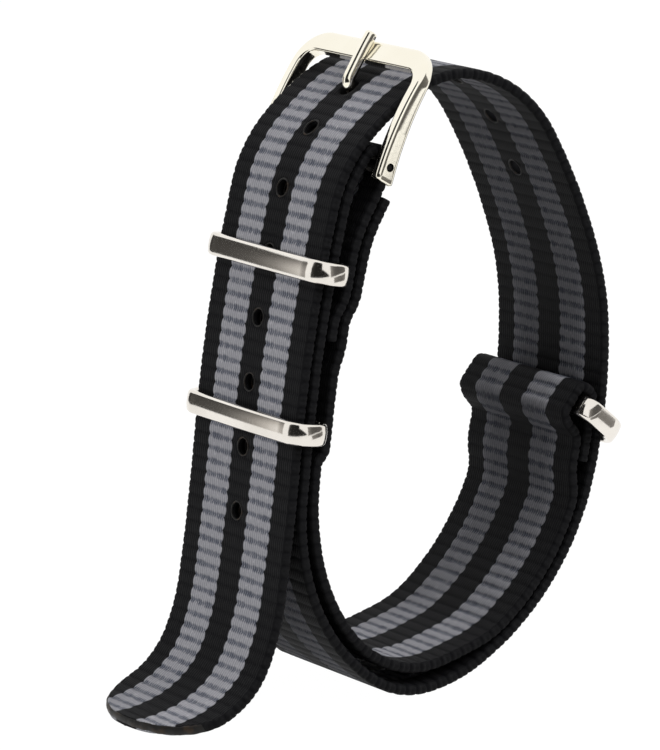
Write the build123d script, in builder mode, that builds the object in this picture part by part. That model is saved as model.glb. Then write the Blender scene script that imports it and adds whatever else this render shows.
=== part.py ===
from build123d import *
from math import atan2, cos, degrees, hypot, radians, sin, sqrt
import os

os.makedirs("parts", exist_ok=True)

# Webbing, and the gaps between its layers
strap_width = 20.0
strap_thickness = 1.2
layer_gap = 0.2
flap_gap = 0.2
weld_gap = 0.25
weld_clearance = 0.05
weld_length = 1.6
weld_inset = 1.5
cut_overrun = 0.1

# Route of the long strap in the side view, as turns in degrees and lengths in shares of one
# unit: from the lowest point of the loop up the far side, over the crown, through the buckle,
# over its pin and down the front to the tip
loop_bottom_x = 2.67
run_unit_length = 175.0
run_turns_and_length_shares = [
    (20.0, 0.037),
    (50.0, 0.149),
    (17.0, 0.099),
    (15.0, 0.0485),
    (14.0, 0.0925),
    (47.0, 0.0755),
    (27.0, 0.0305),
    (16.0, 0.026),
    (12.0, 0.0365),
    (32.0, 0.048),
    (9.0, 0.160),
    (-1.0, 0.0245),
    (-2.0, 0.066),
    (-16.0, 0.040),
    (-38.0, 0.038),
    (-29.0, 0.045),
]
before_tail_run_count = 8
before_bar_run_count = 5
past_bar_run_count = 10

# Places along the tail, measured down the front from the point where it leaves the crown
pin_down = 7.7
short_strap_top = 3.2
upper_keeper_down = 21.9
fold_end_down = 29.4
channel_start_down = 33.5
lower_keeper_down = 39.6
seam_down = 43.6
stack_foot_down = 46.5

# The inner layers' turn at the foot of the loop
heel_back = 11.8
heel_up = 7.9
heel_angle = 302.0
heel_slack = 0.5
bottom_slack = 1.0
bottom_ahead = 2.5
slack_end_up = 13.0

# Holes and tip of the tail
hole_diameter = 2.0
hole_pitch = 7.2
first_hole_down = 6.9
tail_hole_count = 7
first_far_hole_up = 7.5
far_hole_count = 4
tip_length = 8.0
tip_round_side_gain = 0.05

# Spring bar
tube_diameter = 1.8
tube_bore = 1.3
tube_inset = 1.5
lip_length = 0.4
running_gap = 0.05
end_gap = 0.1
plunger_head_length = 1.0
plunger_neck_length = 2.0
plunger_tip_diameter = 0.8
plunger_flange_diameter = 1.4
plunger_flange_length = 0.5
plunger_tip_recess = 0.1
plunger_tip_edge = 0.1
plunger_travel = 1.4
spring_wire = 0.2
spring_play = 0.1
spring_turn_count = 9
spring_wire_side_count = 6
pin_fold_gap = 0.15
fold_angle = 168.0

# Buckle frame
frame_side_gap = 0.6
frame_leg_thickness = 1.4
bar_reach = 12.2
bar_width = 2.6
bar_thickness = 1.5
bar_clearance = 0.25
leg_depth = 2.5
leg_drop = 0.3
leg_end = 1.8
leg_bow = 0.75
frame_corner = 4.2
window_corner = 1.9
ear_hole_gap = 0.075
ear_corner = 0.45
frame_edge = 0.2
least_frame_angle = 35.0
most_frame_angle = 80.0

# Tongue
tongue_diameter = 1.4
tongue_eye_gap = 0.06
tongue_eye_wall = 0.55
tongue_eye_width = 2.2
tongue_eye_play = 0.3
tongue_start = 1.2
tongue_start_rise = 0.35
tongue_crown = 8.2
tongue_crown_rise = 1.35
tongue_reach = 14.6
tongue_tip_rise = 1.25
tongue_tip_edge = 0.25
tongue_seat_gap = 0.05
tongue_slot_play = 0.3
tongue_and_buckle_lift_angle = 7.0

# Keeper rings
ring_strip_width = 2.6
ring_thickness = 0.8
ring_side_gap = 0.8
ring_corner = 1.9
ring_shoulder = 0.5
ring_bow = 0.2
ring_edge = 0.2
ring_gap = 0.2
ring_front_gap = 0.25
free_ring_angle = 33.0
free_ring_up = 41.0
crease_below = 4.7
flap_below = 6.7
step_below = 12.5
bulge_angle = 22.0

# Plain angles, and the least turn and stretch that count as any
nearly_nothing = 1e-9
nearly_straight_angle = 0.01
quarter_turn_angle = 90.0
half_turn_angle = 180.0


def place(bend, share=1.0, shift=0.0):
    """Point and heading a share of the way round a bend, shifted to the left of travel."""
    x, z, heading, length, turn = bend
    step = length * share
    swing = radians(turn * share) / 2
    chord = step if abs(swing) < nearly_nothing else step * sin(swing) / swing
    along = radians(heading) + swing
    end = heading + turn * share
    x = x + chord * cos(along) - shift * sin(radians(end))
    z = z + chord * sin(along) + shift * cos(radians(end))
    return x, z, end


def moved_left(start, shift):
    """A station moved to the left of travel."""
    x, z, heading = start
    return x - shift * sin(radians(heading)), z + shift * cos(radians(heading)), heading


def parallel(bends, shift):
    """The same route, shifted to the left of travel."""
    return [place(b, 0, shift) + (b[3] - shift * radians(b[4]), b[4]) for b in bends]


def turned_back(bends):
    """The same route, travelled the other way."""
    result = []
    for bend in reversed(bends):
        x, z, heading = place(bend)
        result.append((x, z, heading + half_turn_angle, bend[3], -bend[4]))
    return result


def part_of(bends, start, end):
    """The stretch of a route between two distances along it."""
    result = []
    passed = 0.0
    for bend in bends:
        low = max(start - passed, 0.0) / bend[3]
        high = min((end - passed) / bend[3], 1.0)
        if high - low > nearly_nothing:
            result.append(place(bend, low) + (bend[3] * (high - low), bend[4] * (high - low)))
        passed += bend[3]
    return result


def station(bends, distance, shift=0.0):
    """Point and heading at a distance along a route."""
    for bend in bends:
        if distance <= bend[3] or bend is bends[-1]:
            return place(bend, distance / bend[3], shift)
        distance -= bend[3]


def joined(start, end):
    """Two tangent arcs from one station to another."""
    x0, z0, heading0 = start
    x1, z1, heading1 = end
    c0, s0 = cos(radians(heading0)), sin(radians(heading0))
    c1, s1 = cos(radians(heading1)), sin(radians(heading1))
    dx, dz = x1 - x0, z1 - z0
    along = dx * (c0 + c1) + dz * (s0 + s1)
    square = dx * dx + dz * dz
    spread = 2 * (1 - c0 * c1 - s0 * s1)
    if spread < nearly_nothing:
        reach = square / (2 * along)
    else:
        reach = (sqrt(along * along + spread * square) - along) / spread
    xm = (x0 + x1 + reach * (c0 - c1)) / 2
    zm = (z0 + z1 + reach * (s0 - s1)) / 2
    first = arc_between(x0, z0, heading0, xm, zm)
    middle = place(first)
    second = arc_between(*middle, x1, z1)
    return [first, second]


def arc_between(x0, z0, heading, x1, z1):
    """The arc that leaves a point at a heading and ends in another point."""
    chord = hypot(x1 - x0, z1 - z0)
    swing = degrees(atan2(z1 - z0, x1 - x0)) - heading
    swing = (swing + half_turn_angle) % (2 * half_turn_angle) - half_turn_angle
    half = radians(swing)
    length = chord if abs(half) < nearly_nothing else chord * half / sin(half)
    return x0, z0, heading, length, 2 * swing


def length_of(bends):
    return sum(bend[3] for bend in bends)


def band_outline(bends, half):
    """Edges of a band that follows a route, inside the current BuildLine."""
    for side in (half, -half):
        for bend in bends:
            marks = [place(bend, share, side)[:2] for share in (0, 0.5, 1)]
            if abs(bend[4]) < nearly_straight_angle:
                Line(marks[0], marks[2])
            else:
                ThreePointArc(*marks)
    for bend, share in ((bends[0], 0), (bends[-1], 1)):
        Line(place(bend, share, half)[:2], place(bend, share, -half)[:2])


def across(point_and_heading):
    """The plane that lies on the band at a station: X across it, Z out of the loop."""
    x, z, heading = point_and_heading
    return Plane(
        origin=(x, 0, z),
        x_dir=(0, 1, 0),
        z_dir=(sin(radians(heading)), 0, -cos(radians(heading))),
    )


def side_frame(point_and_heading):
    """The side-view plane at a station: X along the heading, Y to the left of it."""
    x, z, heading = point_and_heading
    return Plane(
        origin=(x, 0, z),
        x_dir=(cos(radians(heading)), 0, sin(radians(heading))),
        z_dir=(0, -1, 0),
    )


# Route of the outer layer
half_thickness = strap_thickness / 2
half_width = strap_width / 2
loop_route = []
next_start = (loop_bottom_x, half_thickness, 0.0)
for turn, length_share in run_turns_and_length_shares:
    loop_route.append(next_start + (length_share * run_unit_length, turn))
    next_start = place(loop_route[-1])
tail_route = loop_route[before_tail_run_count:]
bar_bends = loop_route[before_bar_run_count:past_bar_run_count]

# Inner layers, each as a shift from the tail
layer_pitch = strap_thickness + layer_gap
weld_pitch = strap_thickness + weld_gap
channel_pitch = strap_thickness + ring_thickness + 2 * ring_gap
long_shift = layer_pitch
fold_shift = long_shift + channel_pitch
fold_end_shift = long_shift + weld_pitch
short_keeper_shift = fold_shift + weld_pitch
short_fold_end_shift = fold_end_shift + weld_pitch
short_channel_shift = long_shift + channel_pitch
short_seam_shift = long_shift + weld_pitch

# Pin of the buckle and the fold that holds it
pin_radius = tube_diameter / 2
wrap_radius = pin_radius + pin_fold_gap + half_thickness
wrap_end = station(tail_route, pin_down, long_shift)
pin_x, pin_z, _ = station(tail_route, pin_down, long_shift + wrap_radius)
wrap_length = wrap_radius * radians(fold_angle)
wrap_end_turned = (wrap_end[0], wrap_end[1], wrap_end[2] + half_turn_angle)
wrap = turned_back([wrap_end_turned + (wrap_length, -fold_angle)])
wrap_start = place(wrap[0], 0)

# The fold comes up the inside from its end, past the upper keeper, and over the pin
keeper_reach = ring_strip_width / 2 + 2 * ring_gap
upper_keeper_top = upper_keeper_down - keeper_reach
upper_keeper_foot = upper_keeper_down + keeper_reach
fold_seam_down = fold_end_down - weld_length


def upwards(down, shift):
    """A station on an inner layer, travelled upwards."""
    x, z, heading = station(tail_route, down, shift)
    return x, z, heading + half_turn_angle


def run_up(low, high, shift):
    """An inner layer's run beside the tail, travelled upwards."""
    return turned_back(parallel(part_of(tail_route, high, low), shift))


fold_rise = joined(upwards(upper_keeper_top, fold_shift), wrap_start)
fold_back = (
    run_up(fold_end_down, fold_seam_down, fold_end_shift)
    + joined(upwards(fold_seam_down, fold_end_shift), upwards(upper_keeper_foot, fold_shift))
    + run_up(upper_keeper_foot, upper_keeper_top, fold_shift)
    + fold_rise
)
stack_run = parallel(part_of(tail_route, pin_down, stack_foot_down), long_shift)
heel = (loop_bottom_x - heel_back, half_thickness + heel_up, heel_angle)
loop_bottom = (loop_bottom_x, half_thickness, 2 * half_turn_angle)
heel_route = joined(place(stack_run[-1]), heel) + joined(heel, loop_bottom)
long_route = fold_back + wrap + stack_run + heel_route + loop_route

# Place of the free ring in the fold of the short strap
tilt = radians(free_ring_angle)
half_strip = ring_strip_width / 2
half_ring = ring_thickness / 2
ring_half_span = half_strip * sin(tilt) + half_ring * cos(tilt)
flap_shift = strap_thickness + flap_gap
ring_in_shift = flap_shift + half_thickness + ring_gap + ring_half_span
ring_out_shift = half_thickness + ring_gap + ring_half_span
free_ring_pitch = (ring_in_shift + ring_out_shift) / cos(tilt)
free_ring_centre = station(loop_route, free_ring_up, ring_in_shift)


def beside_ring(along, left, heading):
    """A station given from the free ring's inner bar, along and to the left of the strap."""
    x, z, base = free_ring_centre
    c, s = cos(radians(base)), sin(radians(base))
    return x + along * c - left * s, z + along * s + left * c, base + heading


# The short strap: down the front, round the heel and up to the fold that holds the free ring
fold_corner_radius = ring_gap + half_thickness
crease_up = free_ring_up - crease_below
step_up = free_ring_up - step_below
double_shift = flap_shift + strap_thickness + flap_gap


def corner(along_share, side_share, heading):
    """Where the fold leaves or meets its arc round one corner of the ring's inner bar."""
    along = along_share * half_strip * cos(tilt) + side_share * half_ring * sin(tilt)
    left = -along_share * half_strip * sin(tilt) + side_share * half_ring * cos(tilt)
    along -= fold_corner_radius * sin(radians(heading))
    left += fold_corner_radius * cos(radians(heading))
    return beside_ring(along, left, heading)


def corner_arc(along_share, side_share, heading, turn):
    """The fold's arc round one corner of the ring's inner bar."""
    start = corner(along_share, side_share, heading)
    return [start + (fold_corner_radius * radians(abs(turn)), turn)]


def straight(start, end):
    """A straight run from one station to another."""
    return [start + (hypot(end[0] - start[0], end[1] - start[1]), 0.0)]


face_heading = -free_ring_angle
fold_corners = [
    corner_arc(-1, 1, bulge_angle, face_heading - bulge_angle),
    corner_arc(1, 1, face_heading, -quarter_turn_angle),
    corner_arc(1, -1, face_heading - quarter_turn_angle, free_ring_angle - quarter_turn_angle),
]
flap_start = place(fold_corners[2][0])
flap_end_up = free_ring_up - flap_below
flap_end = station(loop_route, flap_end_up, flap_shift)
flap_end = (flap_end[0], flap_end[1], flap_end[2] - half_turn_angle)
ring_fold = (
    joined(station(loop_route, crease_up, double_shift), place(fold_corners[0][0], 0))
    + fold_corners[0]
    + straight(place(fold_corners[0][0]), place(fold_corners[1][0], 0))
    + fold_corners[1]
    + straight(place(fold_corners[1][0]), place(fold_corners[2][0], 0))
    + fold_corners[2]
    + joined(flap_start, flap_end)
)
short_top = part_of(parallel(fold_rise, -weld_pitch), 0, length_of(fold_rise) - short_strap_top)
short_heel = moved_left(heel, weld_pitch + heel_slack)
short_bottom = station(loop_route, bottom_ahead, weld_pitch + bottom_slack)
short_seam_end = seam_down + weld_length
short_route = (
    turned_back(short_top)
    + parallel(part_of(tail_route, upper_keeper_top, upper_keeper_foot), short_keeper_shift)
    + joined(
        station(tail_route, upper_keeper_foot, short_keeper_shift),
        station(tail_route, fold_seam_down, short_fold_end_shift),
    )
    + parallel(part_of(tail_route, fold_seam_down, fold_end_down), short_fold_end_shift)
    + joined(
        station(tail_route, fold_end_down, short_fold_end_shift),
        station(tail_route, channel_start_down, short_channel_shift),
    )
    + parallel(
        part_of(tail_route, channel_start_down, lower_keeper_down + keeper_reach),
        short_channel_shift,
    )
    + joined(
        station(tail_route, lower_keeper_down + keeper_reach, short_channel_shift),
        station(tail_route, seam_down, short_seam_shift),
    )
    + parallel(part_of(tail_route, seam_down, short_seam_end), short_seam_shift)
    + joined(station(tail_route, short_seam_end, short_seam_shift), short_heel)
    + joined(short_heel, short_bottom)
    + joined(short_bottom, station(loop_route, slack_end_up, weld_pitch))
    + parallel(part_of(loop_route, slack_end_up, step_up), weld_pitch)
    + joined(
        station(loop_route, step_up, weld_pitch),
        station(loop_route, crease_up - weld_length, double_shift),
    )
    + parallel(part_of(loop_route, crease_up - weld_length, crease_up), double_shift)
    + ring_fold
)

# Direction of the buckle frame: its front bar lies on the strap that passes under it
bar_inner_reach = bar_reach - bar_width / 2
bar_outer_reach = bar_reach + bar_width / 2
leg_middle = (bar_outer_reach - leg_end) / 2
leg_half_span = (bar_outer_reach + leg_end) / 2
bar_half = bar_thickness / 2
leg_half = leg_depth / 2
angle_step_count = 30
run_mark_count = 24

# Where the strap's edges meet the rounded corners of the frame's window
edge_in_corner = max(window_corner - frame_side_gap, 0)
corner_rise = window_corner - sqrt(max(window_corner**2 - edge_in_corner**2, 0))
corner_reach = bar_inner_reach - corner_rise


def underside(u):
    """Height of the frame's lower face over its pin, a distance along the frame."""
    share = (u + leg_end) / (2 * leg_half_span)
    rise = leg_bow * (1 - ((u - leg_middle) / leg_half_span) ** 2)
    return -(leg_half + leg_drop) * (1 - share) - bar_half * share + rise


def bar_room(angle):
    """Least distance from the bar's lower face to the strap that passes below it."""
    c, s = cos(radians(angle)), sin(radians(angle))
    rooms = []
    for u in (corner_reach, bar_inner_reach, bar_reach, bar_outer_reach):
        edge_x = pin_x + u * c - underside(u) * s
        edge_z = pin_z + u * s + underside(u) * c
        marks = []
        for bend in bar_bends:
            for step in range(run_mark_count + 1):
                x, z, heading = place(bend, step / run_mark_count)
                dx, dz = edge_x - x, edge_z - z
                out = dx * sin(radians(heading)) - dz * cos(radians(heading))
                marks.append((hypot(dx, dz), out))
        near, out = min(marks)
        rooms.append(near if out > 0 else -near)
    return min(rooms) - half_thickness


low_angle, high_angle = least_frame_angle, most_frame_angle
for _ in range(angle_step_count):
    frame_angle = (low_angle + high_angle) / 2
    if bar_room(frame_angle) < bar_clearance:
        low_angle = frame_angle
    else:
        high_angle = frame_angle
pin = (pin_x, pin_z, frame_angle)
pin_axis = Axis((pin_x, 0, pin_z), (0, 1, 0))

# Rise of the tongue over the frame's middle plane, and the room round it
tongue_radius = tongue_diameter / 2
slot_half_width = tongue_radius + tongue_slot_play
tongue_marks = [
    (tongue_start, tongue_start_rise),
    (tongue_crown, tongue_crown_rise),
    (tongue_reach, tongue_tip_rise),
]


def raised(mark, lift, rise):
    """A point of the tongue moved off its middle line and then turned about the pin."""
    u, n = mark
    n += rise
    c, s = cos(radians(lift)), sin(radians(lift))
    return u * c - n * s, u * s + n * c


def hole_stations():
    """Stations of the holes down the tail and up the far side."""
    tail_start = length_of(loop_route[:before_tail_run_count])
    tail = [tail_start + first_hole_down + hole_pitch * i for i in range(tail_hole_count)]
    far = [tail_start - first_far_hole_up - hole_pitch * i for i in range(far_hole_count)]
    return [station(loop_route, distance) for distance in tail + far]


# The long strap
with BuildPart() as main_strap:
    with BuildSketch(Plane.XZ):
        with BuildLine():
            band_outline(long_route, half_thickness)
        make_face()
    extrude(amount=half_width, both=True)
    for hole in hole_stations():
        with BuildSketch(across(hole)):
            Circle(hole_diameter / 2)
        extrude(amount=half_thickness + cut_overrun, both=True, mode=Mode.SUBTRACT)
    # the room that the tongue's eye needs in the fold, and its way out through the tail
    with BuildSketch(side_frame(pin)):
        Circle(wrap_radius + half_thickness + cut_overrun)
    extrude(amount=tongue_eye_width / 2 + tongue_eye_play, both=True, mode=Mode.SUBTRACT)
    with BuildSketch(side_frame(pin)):
        with BuildLine():
            slot_floor = [raised(mark, 0, -slot_half_width) for mark in tongue_marks]
            slot_roof = [raised(mark, tongue_and_buckle_lift_angle, slot_half_width) for mark in tongue_marks]
            ThreePointArc(*slot_floor)
            Line(slot_floor[2], slot_roof[2])
            ThreePointArc(*reversed(slot_roof))
            Line(slot_roof[0], slot_floor[0])
        make_face()
    extrude(amount=slot_half_width, both=True, mode=Mode.SUBTRACT)
    # the rounded tip
    with BuildSketch(across(station(loop_route, length_of(loop_route) - tip_length))):
        with Locations((0, tip_length)):
            Rectangle(2 * strap_width, 2 * tip_length)
        Ellipse(half_width + tip_round_side_gain, tip_length, mode=Mode.SUBTRACT)
    extrude(amount=tip_length / 2, both=True, mode=Mode.SUBTRACT)
main_strap.part.label = "main_strap"
export_step(main_strap.part, "parts/main_strap.step")

# The short strap
with BuildPart() as short_strap:
    with BuildSketch(Plane.XZ):
        with BuildLine():
            band_outline(short_route, half_thickness)
        make_face()
    extrude(amount=half_width, both=True)
short_strap.part.label = "short_strap"
export_step(short_strap.part, "parts/short_strap.step")

# Welded seams: thin films of molten yarn between the layers that they hold together
weld_half = weld_gap / 2 - weld_clearance
flap_weld_half = flap_gap / 2 - weld_clearance
top_weld_end = length_of(short_top) - weld_length / 2
top_weld = part_of(parallel(fold_rise, -weld_pitch / 2), top_weld_end - weld_length, top_weld_end)
fold_weld_down = part_of(tail_route, fold_seam_down, fold_end_down)
welds = {
    "weld_buckle_fold": [
        (top_weld, weld_half),
        (parallel(fold_weld_down, fold_end_shift + weld_pitch / 2), weld_half),
        (parallel(fold_weld_down, fold_end_shift - weld_pitch / 2), weld_half),
    ],
    "weld_keeper_channel": [
        (
            parallel(
                part_of(tail_route, seam_down, short_seam_end), short_seam_shift - weld_pitch / 2
            ),
            weld_half,
        ),
    ],
    "weld_ring_fold": [
        (
            parallel(
                part_of(loop_route, crease_up - weld_length, crease_up),
                double_shift - half_thickness - flap_gap / 2,
            ),
            flap_weld_half,
        ),
    ],
}
for name, films in welds.items():
    with BuildPart() as weld:
        for route, half in films:
            with BuildSketch(Plane.XZ):
                with BuildLine():
                    band_outline(route, half)
                make_face()
            extrude(amount=half_width - weld_inset, both=True)
    weld.part.label = name
    export_step(weld.part, f"parts/{name}.step")

# Buckle frame: a bowed, flat-sided bow with its two ears on the spring bar
frame_inner_half_width = half_width + frame_side_gap
frame_half_width = frame_inner_half_width + frame_leg_thickness
with BuildPart() as buckle_frame:
    with BuildSketch(side_frame(pin)) as frame_side:
        with BuildLine():
            top_edge = ThreePointArc(
                (-leg_end, leg_half - leg_drop),
                (leg_middle, (leg_half - leg_drop + bar_half) / 2 + leg_bow),
                (bar_outer_reach, bar_half),
            )
            low_edge = ThreePointArc(
                (-leg_end, -leg_half - leg_drop),
                (leg_middle, underside(leg_middle)),
                (bar_outer_reach, -bar_half),
            )
            Line(top_edge @ 0, low_edge @ 0)
            Line(top_edge @ 1, low_edge @ 1)
        make_face()
        fillet(frame_side.vertices().group_by(Axis.X)[0], ear_corner)
    extrude(amount=frame_half_width, both=True)
    with BuildSketch(across(pin)):
        with BuildLine():
            outside = FilletPolyline(
                (-frame_half_width, -leg_end),
                (-frame_half_width, bar_outer_reach),
                (frame_half_width, bar_outer_reach),
                (frame_half_width, -leg_end),
                radius=frame_corner,
            )
            inside = FilletPolyline(
                (-frame_inner_half_width, -leg_end),
                (-frame_inner_half_width, bar_inner_reach),
                (frame_inner_half_width, bar_inner_reach),
                (frame_inner_half_width, -leg_end),
                radius=window_corner,
            )
            Line(outside @ 0, inside @ 0)
            Line(outside @ 1, inside @ 1)
        make_face()
    extrude(amount=bar_reach, both=True, mode=Mode.INTERSECT)
    chamfer(buckle_frame.edges(), frame_edge)
    with BuildSketch(side_frame(pin)):
        Circle(plunger_tip_diameter / 2 + ear_hole_gap)
    extrude(amount=frame_half_width, both=True, mode=Mode.SUBTRACT)
    # the notch that the tongue rests in
    with BuildLine(side_frame(pin)):
        notch_line = ThreePointArc(*tongue_marks)
    with BuildSketch(Plane(origin=notch_line @ 0, z_dir=notch_line % 0)):
        Circle(tongue_radius + tongue_seat_gap)
    sweep(mode=Mode.SUBTRACT)
buckle_frame.part.label = "buckle_frame"
export_step(buckle_frame.part, "parts/buckle_frame.step")

# Tongue: a bent rod with an eye on the spring bar
eye_bore_radius = pin_radius + tongue_eye_gap
eye_radius = eye_bore_radius + tongue_eye_wall
with BuildPart() as buckle_tongue:
    with BuildSketch(side_frame(pin)):
        Circle(eye_radius)
    extrude(amount=tongue_eye_width / 2, both=True)
    with BuildLine(side_frame(pin)):
        tongue_line = ThreePointArc(*tongue_marks)
    with BuildSketch(Plane(origin=tongue_line @ 0, z_dir=tongue_line % 0)):
        Circle(tongue_radius)
    sweep()
    tip_face = buckle_tongue.faces().sort_by_distance(tongue_line @ 1)[0]
    fillet(tip_face.edges(), tongue_tip_edge)
    with BuildSketch(side_frame(pin)):
        Circle(eye_bore_radius)
    extrude(amount=tongue_eye_width, both=True, mode=Mode.SUBTRACT)
buckle_tongue.part.label = "buckle_tongue"
export_step(buckle_tongue.part, "parts/buckle_tongue.step")

# Spring bar: a tube with drawn-in lips, two plungers held behind them, and the spring
bore_radius = tube_bore / 2
head_radius = bore_radius - running_gap
tip_radius = plunger_tip_diameter / 2
flange_radius = plunger_flange_diameter / 2
tube_end = half_width - tube_inset
neck_start = tube_end - lip_length - end_gap
head_start = neck_start - plunger_head_length
neck_radius = tip_radius + running_gap
lip_radius = neck_radius + running_gap
flange_start = neck_start + plunger_neck_length
flange_end = flange_start + plunger_flange_length
tip_end = frame_half_width - plunger_tip_recess
with BuildPart() as spring_bar_tube:
    with BuildSketch(across(pin)):
        with BuildLine():
            Polyline(
                (-tube_end, lip_radius),
                (lip_length - tube_end, lip_radius),
                (lip_length - tube_end, bore_radius),
                (tube_end - lip_length, bore_radius),
                (tube_end - lip_length, lip_radius),
                (tube_end, lip_radius),
                (tube_end, pin_radius),
                (-tube_end, pin_radius),
                close=True,
            )
        make_face()
    revolve(axis=pin_axis)
spring_bar_tube.part.label = "spring_bar_tube"
export_step(spring_bar_tube.part, "parts/spring_bar_tube.step")

for name, side in (("spring_bar_plunger_left", 1), ("spring_bar_plunger_right", -1)):
    with BuildPart() as plunger:
        with BuildSketch(across(pin)):
            with BuildLine():
                Polyline(
                    (side * head_start, 0),
                    (side * head_start, head_radius),
                    (side * neck_start, head_radius),
                    (side * neck_start, neck_radius),
                    (side * flange_start, neck_radius),
                    (side * flange_start, flange_radius),
                    (side * flange_end, flange_radius),
                    (side * flange_end, tip_radius),
                    (side * (tip_end - plunger_tip_edge), tip_radius),
                    (side * tip_end, tip_radius - plunger_tip_edge),
                    (side * tip_end, 0),
                    close=True,
                )
            make_face()
        revolve(axis=pin_axis)
    plunger.part.label = name
    export_step(plunger.part, f"parts/{name}.step")

spring_half_length = head_start - plunger_travel - end_gap - spring_wire / 2
spring_radius = bore_radius - spring_play - spring_wire / 2
spring_pitch = 2 * spring_half_length / spring_turn_count
with BuildPart() as spring_bar_spring:
    with BuildLine():
        coil = Helix(
            pitch=spring_pitch,
            height=2 * spring_half_length,
            radius=spring_radius,
            center=(pin_x, -spring_half_length, pin_z),
            direction=(0, 1, 0),
        )
    with BuildSketch(Plane(origin=coil @ 0, z_dir=coil % 0)):
        RegularPolygon(spring_wire / 2, spring_wire_side_count)
    sweep(is_frenet=True)
spring_bar_spring.part.label = "spring_bar_spring"
export_step(spring_bar_spring.part, "parts/spring_bar_spring.step")

# Keeper rings: flat strip bent round the strap, each with one bar caught between its layers
keeper_in_shift = long_shift + half_thickness + ring_gap + half_ring
keeper_pitch = keeper_in_shift + half_thickness + ring_front_gap + half_ring


def ring_plane(x, z, heading):
    """The plane square to the strap at a station: X across it, Y out of the loop."""
    along = (-cos(radians(heading)), 0, -sin(radians(heading)))
    return Plane(origin=(x, 0, z), x_dir=(0, 1, 0), z_dir=along)


def ring_outline(half_span, low, high, corner_radius):
    """A ring's outline with its front bowed out, inside the current BuildLine."""
    shoulder = half_span - corner_radius - ring_shoulder
    sides = FilletPolyline(
        (-shoulder, high),
        (-half_span, high),
        (-half_span, low),
        (half_span, low),
        (half_span, high),
        (shoulder, high),
        radius=corner_radius,
    )
    ThreePointArc(sides @ 1, (0, high + ring_bow), sides @ 0)


free_x, free_z, free_heading = free_ring_centre
rings = {
    "keeper_upper": (station(tail_route, upper_keeper_down, keeper_in_shift), keeper_pitch),
    "keeper_lower": (station(tail_route, lower_keeper_down, keeper_in_shift), keeper_pitch),
    "keeper_free_ring": ((free_x, free_z, free_heading - free_ring_angle), free_ring_pitch),
}
ring_half_width = half_width + ring_side_gap
for name, (seat, pitch) in rings.items():
    with BuildPart() as ring:
        with BuildSketch(ring_plane(*seat)):
            with BuildLine():
                ring_outline(
                    ring_half_width + ring_thickness, -half_ring, pitch + half_ring, ring_corner
                )
            make_face()
            with BuildLine():
                ring_outline(
                    ring_half_width, half_ring, pitch - half_ring, ring_corner - ring_thickness
                )
            make_face(mode=Mode.SUBTRACT)
        extrude(amount=half_strip, both=True)
        rims = ring.faces().filter_by(ring_plane(*seat))
        chamfer([edge for rim in rims for edge in rim.outer_wire().edges()], ring_edge)
    ring.part.label = name
    export_step(ring.part, f"parts/{name}.step")

print("long strap", round(length_of(long_route), 1), "short strap", round(length_of(short_route), 1))
print("pin", round(pin_x, 3), round(pin_z, 3), "frame angle", round(frame_angle, 2))
print("least gap between the spring's turns", round(spring_pitch - spring_wire, 3))
for name, (seat, pitch) in rings.items():
    print(name, [round(value, 3) for value in seat], round(pitch, 3))
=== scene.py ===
import logging
from dataclasses import dataclass, field
from enum import Enum
from math import atan2, cos, degrees, hypot, pi, radians, sin, sqrt
from typing import NamedTuple, Sequence

import bmesh
import bpy
import numpy as np
from mathutils import Matrix, Vector


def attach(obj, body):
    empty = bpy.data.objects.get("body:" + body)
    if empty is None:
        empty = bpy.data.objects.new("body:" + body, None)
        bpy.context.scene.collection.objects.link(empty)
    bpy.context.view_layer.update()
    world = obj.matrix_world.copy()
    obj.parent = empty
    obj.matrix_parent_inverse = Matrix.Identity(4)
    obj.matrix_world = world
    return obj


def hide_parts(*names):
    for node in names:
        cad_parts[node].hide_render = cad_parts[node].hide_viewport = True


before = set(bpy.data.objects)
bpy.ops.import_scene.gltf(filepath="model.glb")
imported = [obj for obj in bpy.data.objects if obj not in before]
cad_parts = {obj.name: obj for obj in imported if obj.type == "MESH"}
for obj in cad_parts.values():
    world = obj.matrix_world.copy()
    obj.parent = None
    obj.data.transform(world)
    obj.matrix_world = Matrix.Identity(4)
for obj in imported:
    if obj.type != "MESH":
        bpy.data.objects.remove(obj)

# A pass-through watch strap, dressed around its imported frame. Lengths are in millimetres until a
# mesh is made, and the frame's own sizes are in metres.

LOG = logging.getLogger("watch_strap")
MM = 0.001
NEARLY_STRAIGHT = 1e-9
MERGE_DISTANCE = 0.0005
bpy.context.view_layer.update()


class Slot(Enum):
    """The record's material slots, by name."""

    WEBBING = "webbing"
    POLISHED = "polished_steel"
    KEEPER = "keeper_steel"


class Station(NamedTuple):
    """A point of the side view with the direction of travel there, in degrees."""

    x: float
    z: float
    heading: float

    def shifted(self, shift: float) -> "Station":
        """The station, moved to the left of travel."""
        turn = radians(self.heading)
        return Station(self.x - shift * sin(turn), self.z + shift * cos(turn), self.heading)


class Bend(NamedTuple):
    """One arc of a route: its start, heading, length and turn."""

    x: float
    z: float
    heading: float
    length: float
    turn: float

    def at(self, share: float = 1.0, shift: float = 0.0) -> Station:
        """A station on or beside the arc.

        Args:
            share: The share of the way round.
            shift: How far it lies to the left of travel.

        Returns:
            The station.
        """
        step = self.length * share
        swing = radians(self.turn * share) / 2
        chord = step if abs(swing) < NEARLY_STRAIGHT else step * sin(swing) / swing
        along = radians(self.heading) + swing
        end = self.heading + self.turn * share
        return Station(self.x + chord * cos(along), self.z + chord * sin(along), end).shifted(shift)


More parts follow.
